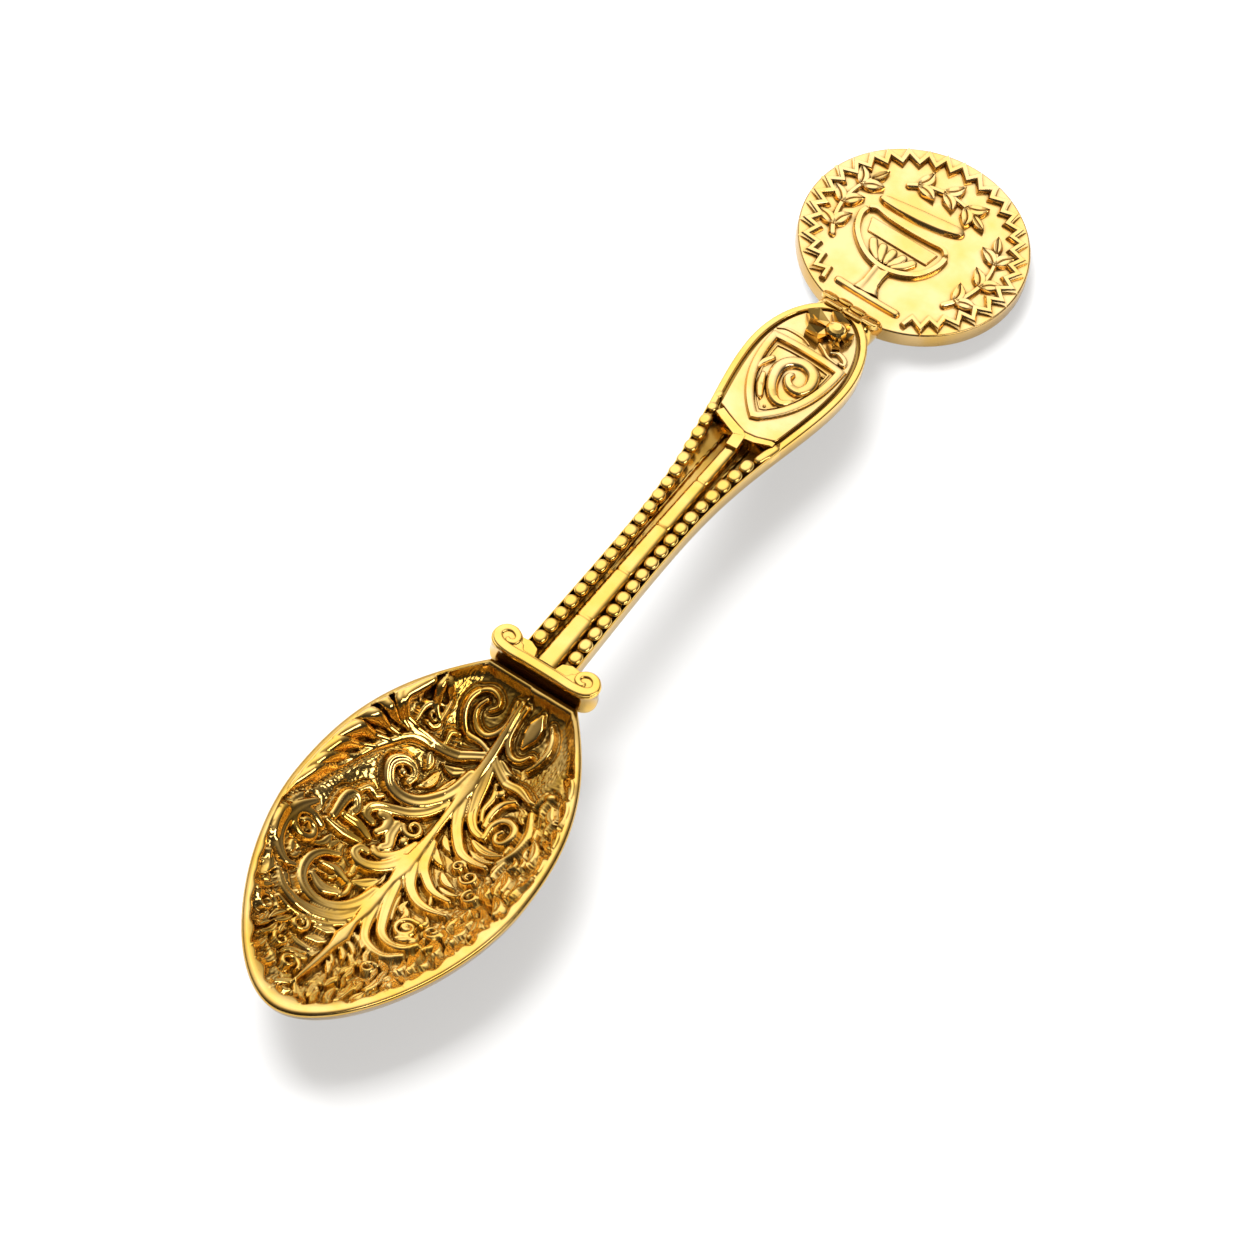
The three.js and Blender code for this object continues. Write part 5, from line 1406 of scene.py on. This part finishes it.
def make_sprig(name, radius, from_degrees, to_degrees):
    """A leaf sprig along an arc round the medallion's middle."""
    def at(share):
        turn = math.radians(lerp(from_degrees, to_degrees, share))
        return np.array([radius * math.cos(turn), radius * math.sin(turn)])

    def toward(degrees):
        turn = math.radians(degrees)
        return np.array([math.cos(turn), math.sin(turn)])

    path = curve([at(share) for share in np.linspace(0, 1, 9)], 0.1)
    shells = [ribbon(path, [0.4, 0.36, 0.26], RELIEF * 0.85, BEVELLED_BAND)]
    forward = math.copysign(90, to_degrees - from_degrees)
    length, width = SPRIG_LEAF
    for k in range(SPRIG_PAIRS):
        share = (k + 0.45) / SPRIG_PAIRS
        heading = lerp(from_degrees, to_degrees, share) + forward
        for side in (-1, 1):
            tip = at(share) + length * toward(heading + side * SPRIG_LEAF_TURN)
            shells.append(leaf(at(share), tip, width, -side * 0.1))
    length, width = SPRIG_END_LEAF
    shells.append(leaf(at(0.97), at(1) + length * toward(to_degrees + forward), width))
    piece(name, on_medallion(join(*shells)), struck_gold, crease=32)


# Stage

# The camera's angles are in radians. Its view is as wide as VIEW_WIDTH at the spoon.
VIEW_AZIMUTH = 0.4181
VIEW_ELEVATION = 0.9838
VIEW_ROLL = 0.1921
VIEW_DISTANCE = 2200
VIEW_WIDTH = 112.9
VIEW_HEIGHT = 3
VIEW_SHIFT = (-0.136, -3.251)
FLOOR_SIZE = 6  # metres
FLOOR_DROP = 0.02
GLOW_FROM = (-0.45, 0.45, 0.77)
GLOW_STRENGTH = 1.45
# Colours of the room, from dark at right angles to the glow to white straight at it
ROOM_DARK = (0.03, 0.028, 0.025)
GLOW_STOPS = [(0.26, (0.07, 0.06, 0.05)), (0.57, (0.2, 0.18, 0.15)), (0.79, (0.55, 0.53, 0.5)),
              (0.91, (1, 1, 1))]
# Lights as (name, direction, distance and size in metres, power, seen in gloss)
LIGHTS = [
    ("key_for_floor", (-0.55, 0.3, 0.85), 1.6, (1.1, 1.1), 28, False),
    ("fill_for_floor", (0.1, -0.2, 1.0), 1.6, (1.6, 1.6), 7, False),
    ("glint_right", (0.75, 0.0, 0.6), 1.2, (0.9, 0.25), 4, True),
]


def make_floor():
    """A broad white floor just under the spoon."""
    bpy.ops.mesh.primitive_plane_add(size=FLOOR_SIZE, location=(0, 0, -FLOOR_DROP * MM))
    floor = bpy.context.object
    floor.name = "floor"
    material = bpy.data.materials.new("floor_white")
    material.use_nodes = True
    shader = material.node_tree.nodes["Principled BSDF"]
    shader.inputs["Base Color"].default_value = (0.9, 0.9, 0.9, 1)
    shader.inputs["Roughness"].default_value = 0.9
    shader.inputs["Specular IOR Level"].default_value = 0.0
    floor.data.materials.append(material)


def make_light(name, direction, distance, size, power, seen_in_gloss):
    """A light that either lights the floor or shows as a glint in the gold."""
    data = bpy.data.lights.new(name, "AREA")
    data.shape = "RECTANGLE"
    data.size, data.size_y = size
    data.energy = power
    light = bpy.data.objects.new(name, data)
    bpy.context.scene.collection.objects.link(light)
    way = Vector(direction).normalized()
    light.location = way * distance
    light.rotation_euler = way.to_track_quat("Z", "Y").to_euler()
    light.visible_glossy = seen_in_gloss
    light.visible_diffuse = not seen_in_gloss


def make_world():
    """A dim room with a broad glow behind the spoon."""
    world = bpy.data.worlds.new("room")
    bpy.context.scene.world = world
    world.use_nodes = True
    tree = world.node_tree
    coords = tree.nodes.new("ShaderNodeTexCoord")
    facing = tree.nodes.new("ShaderNodeVectorMath")
    facing.operation = "DOT_PRODUCT"
    facing.inputs[1].default_value = Vector(GLOW_FROM).normalized()
    ramp = tree.nodes.new("ShaderNodeValToRGB")
    background = tree.nodes["Background"]
    background.inputs["Strength"].default_value = GLOW_STRENGTH
    tree.links.new(coords.outputs["Generated"], facing.inputs[0])
    tree.links.new(facing.outputs["Value"], ramp.inputs["Fac"])
    tree.links.new(ramp.outputs["Color"], background.inputs["Color"])
    stops = ramp.color_ramp.elements
    stops[0].position, stops[0].color = 0.0, (*ROOM_DARK, 1)
    stops[1].position, stops[1].color = 1.0, (1, 1, 1, 1)
    for position, colour in GLOW_STOPS:
        stops.new(position).color = (*colour, 1)


def make_camera():
    """A far camera with a long lens, which sees the spoon as the photograph does."""
    data = bpy.data.cameras.new("camera")
    data.lens = data.sensor_width * VIEW_DISTANCE / VIEW_WIDTH
    data.clip_start, data.clip_end = 0.05, 20
    camera = bpy.data.objects.new("camera", data)
    bpy.context.scene.collection.objects.link(camera)
    turn = Matrix.Rotation(VIEW_AZIMUTH, 4, "Z") @ Matrix.Rotation(math.pi / 2 - VIEW_ELEVATION, 4, "X")
    turn = turn @ Matrix.Rotation(VIEW_ROLL, 4, "Z")
    aim = Vector((0, 0, VIEW_HEIGHT)) + turn @ Vector((*VIEW_SHIFT, VIEW_DISTANCE))
    camera.matrix_world = Matrix.Translation(aim * MM) @ turn
    bpy.context.scene.camera = camera


make_camera()
make_floor()
make_world()
for light_settings in LIGHTS:
    make_light(*light_settings)
bpy.context.scene.view_settings.view_transform = "Standard"

make_bowl()
make_handle()
make_beads("bead_wire_left", -1, yoke_y + 1.7, 0.5)
make_beads("bead_wire_right", 1, yoke_y - 3.7, 0.86, strip_end=yoke_y + 0.3)
make_rod()
make_yoke()
make_plate()
make_shield_frame()
make_shield_scroll()
make_bud()
make_bud_leaf()
make_collar()
make_clasp()
make_disc()
make_zigzag()
make_goblet()
make_goblet_lid()
make_sprig("sprig_left", 7.6, 215, 152)
make_sprig("sprig_right", 7.6, -40, 28)
make_sprig("sprig_top", 6.3, 130, 62)
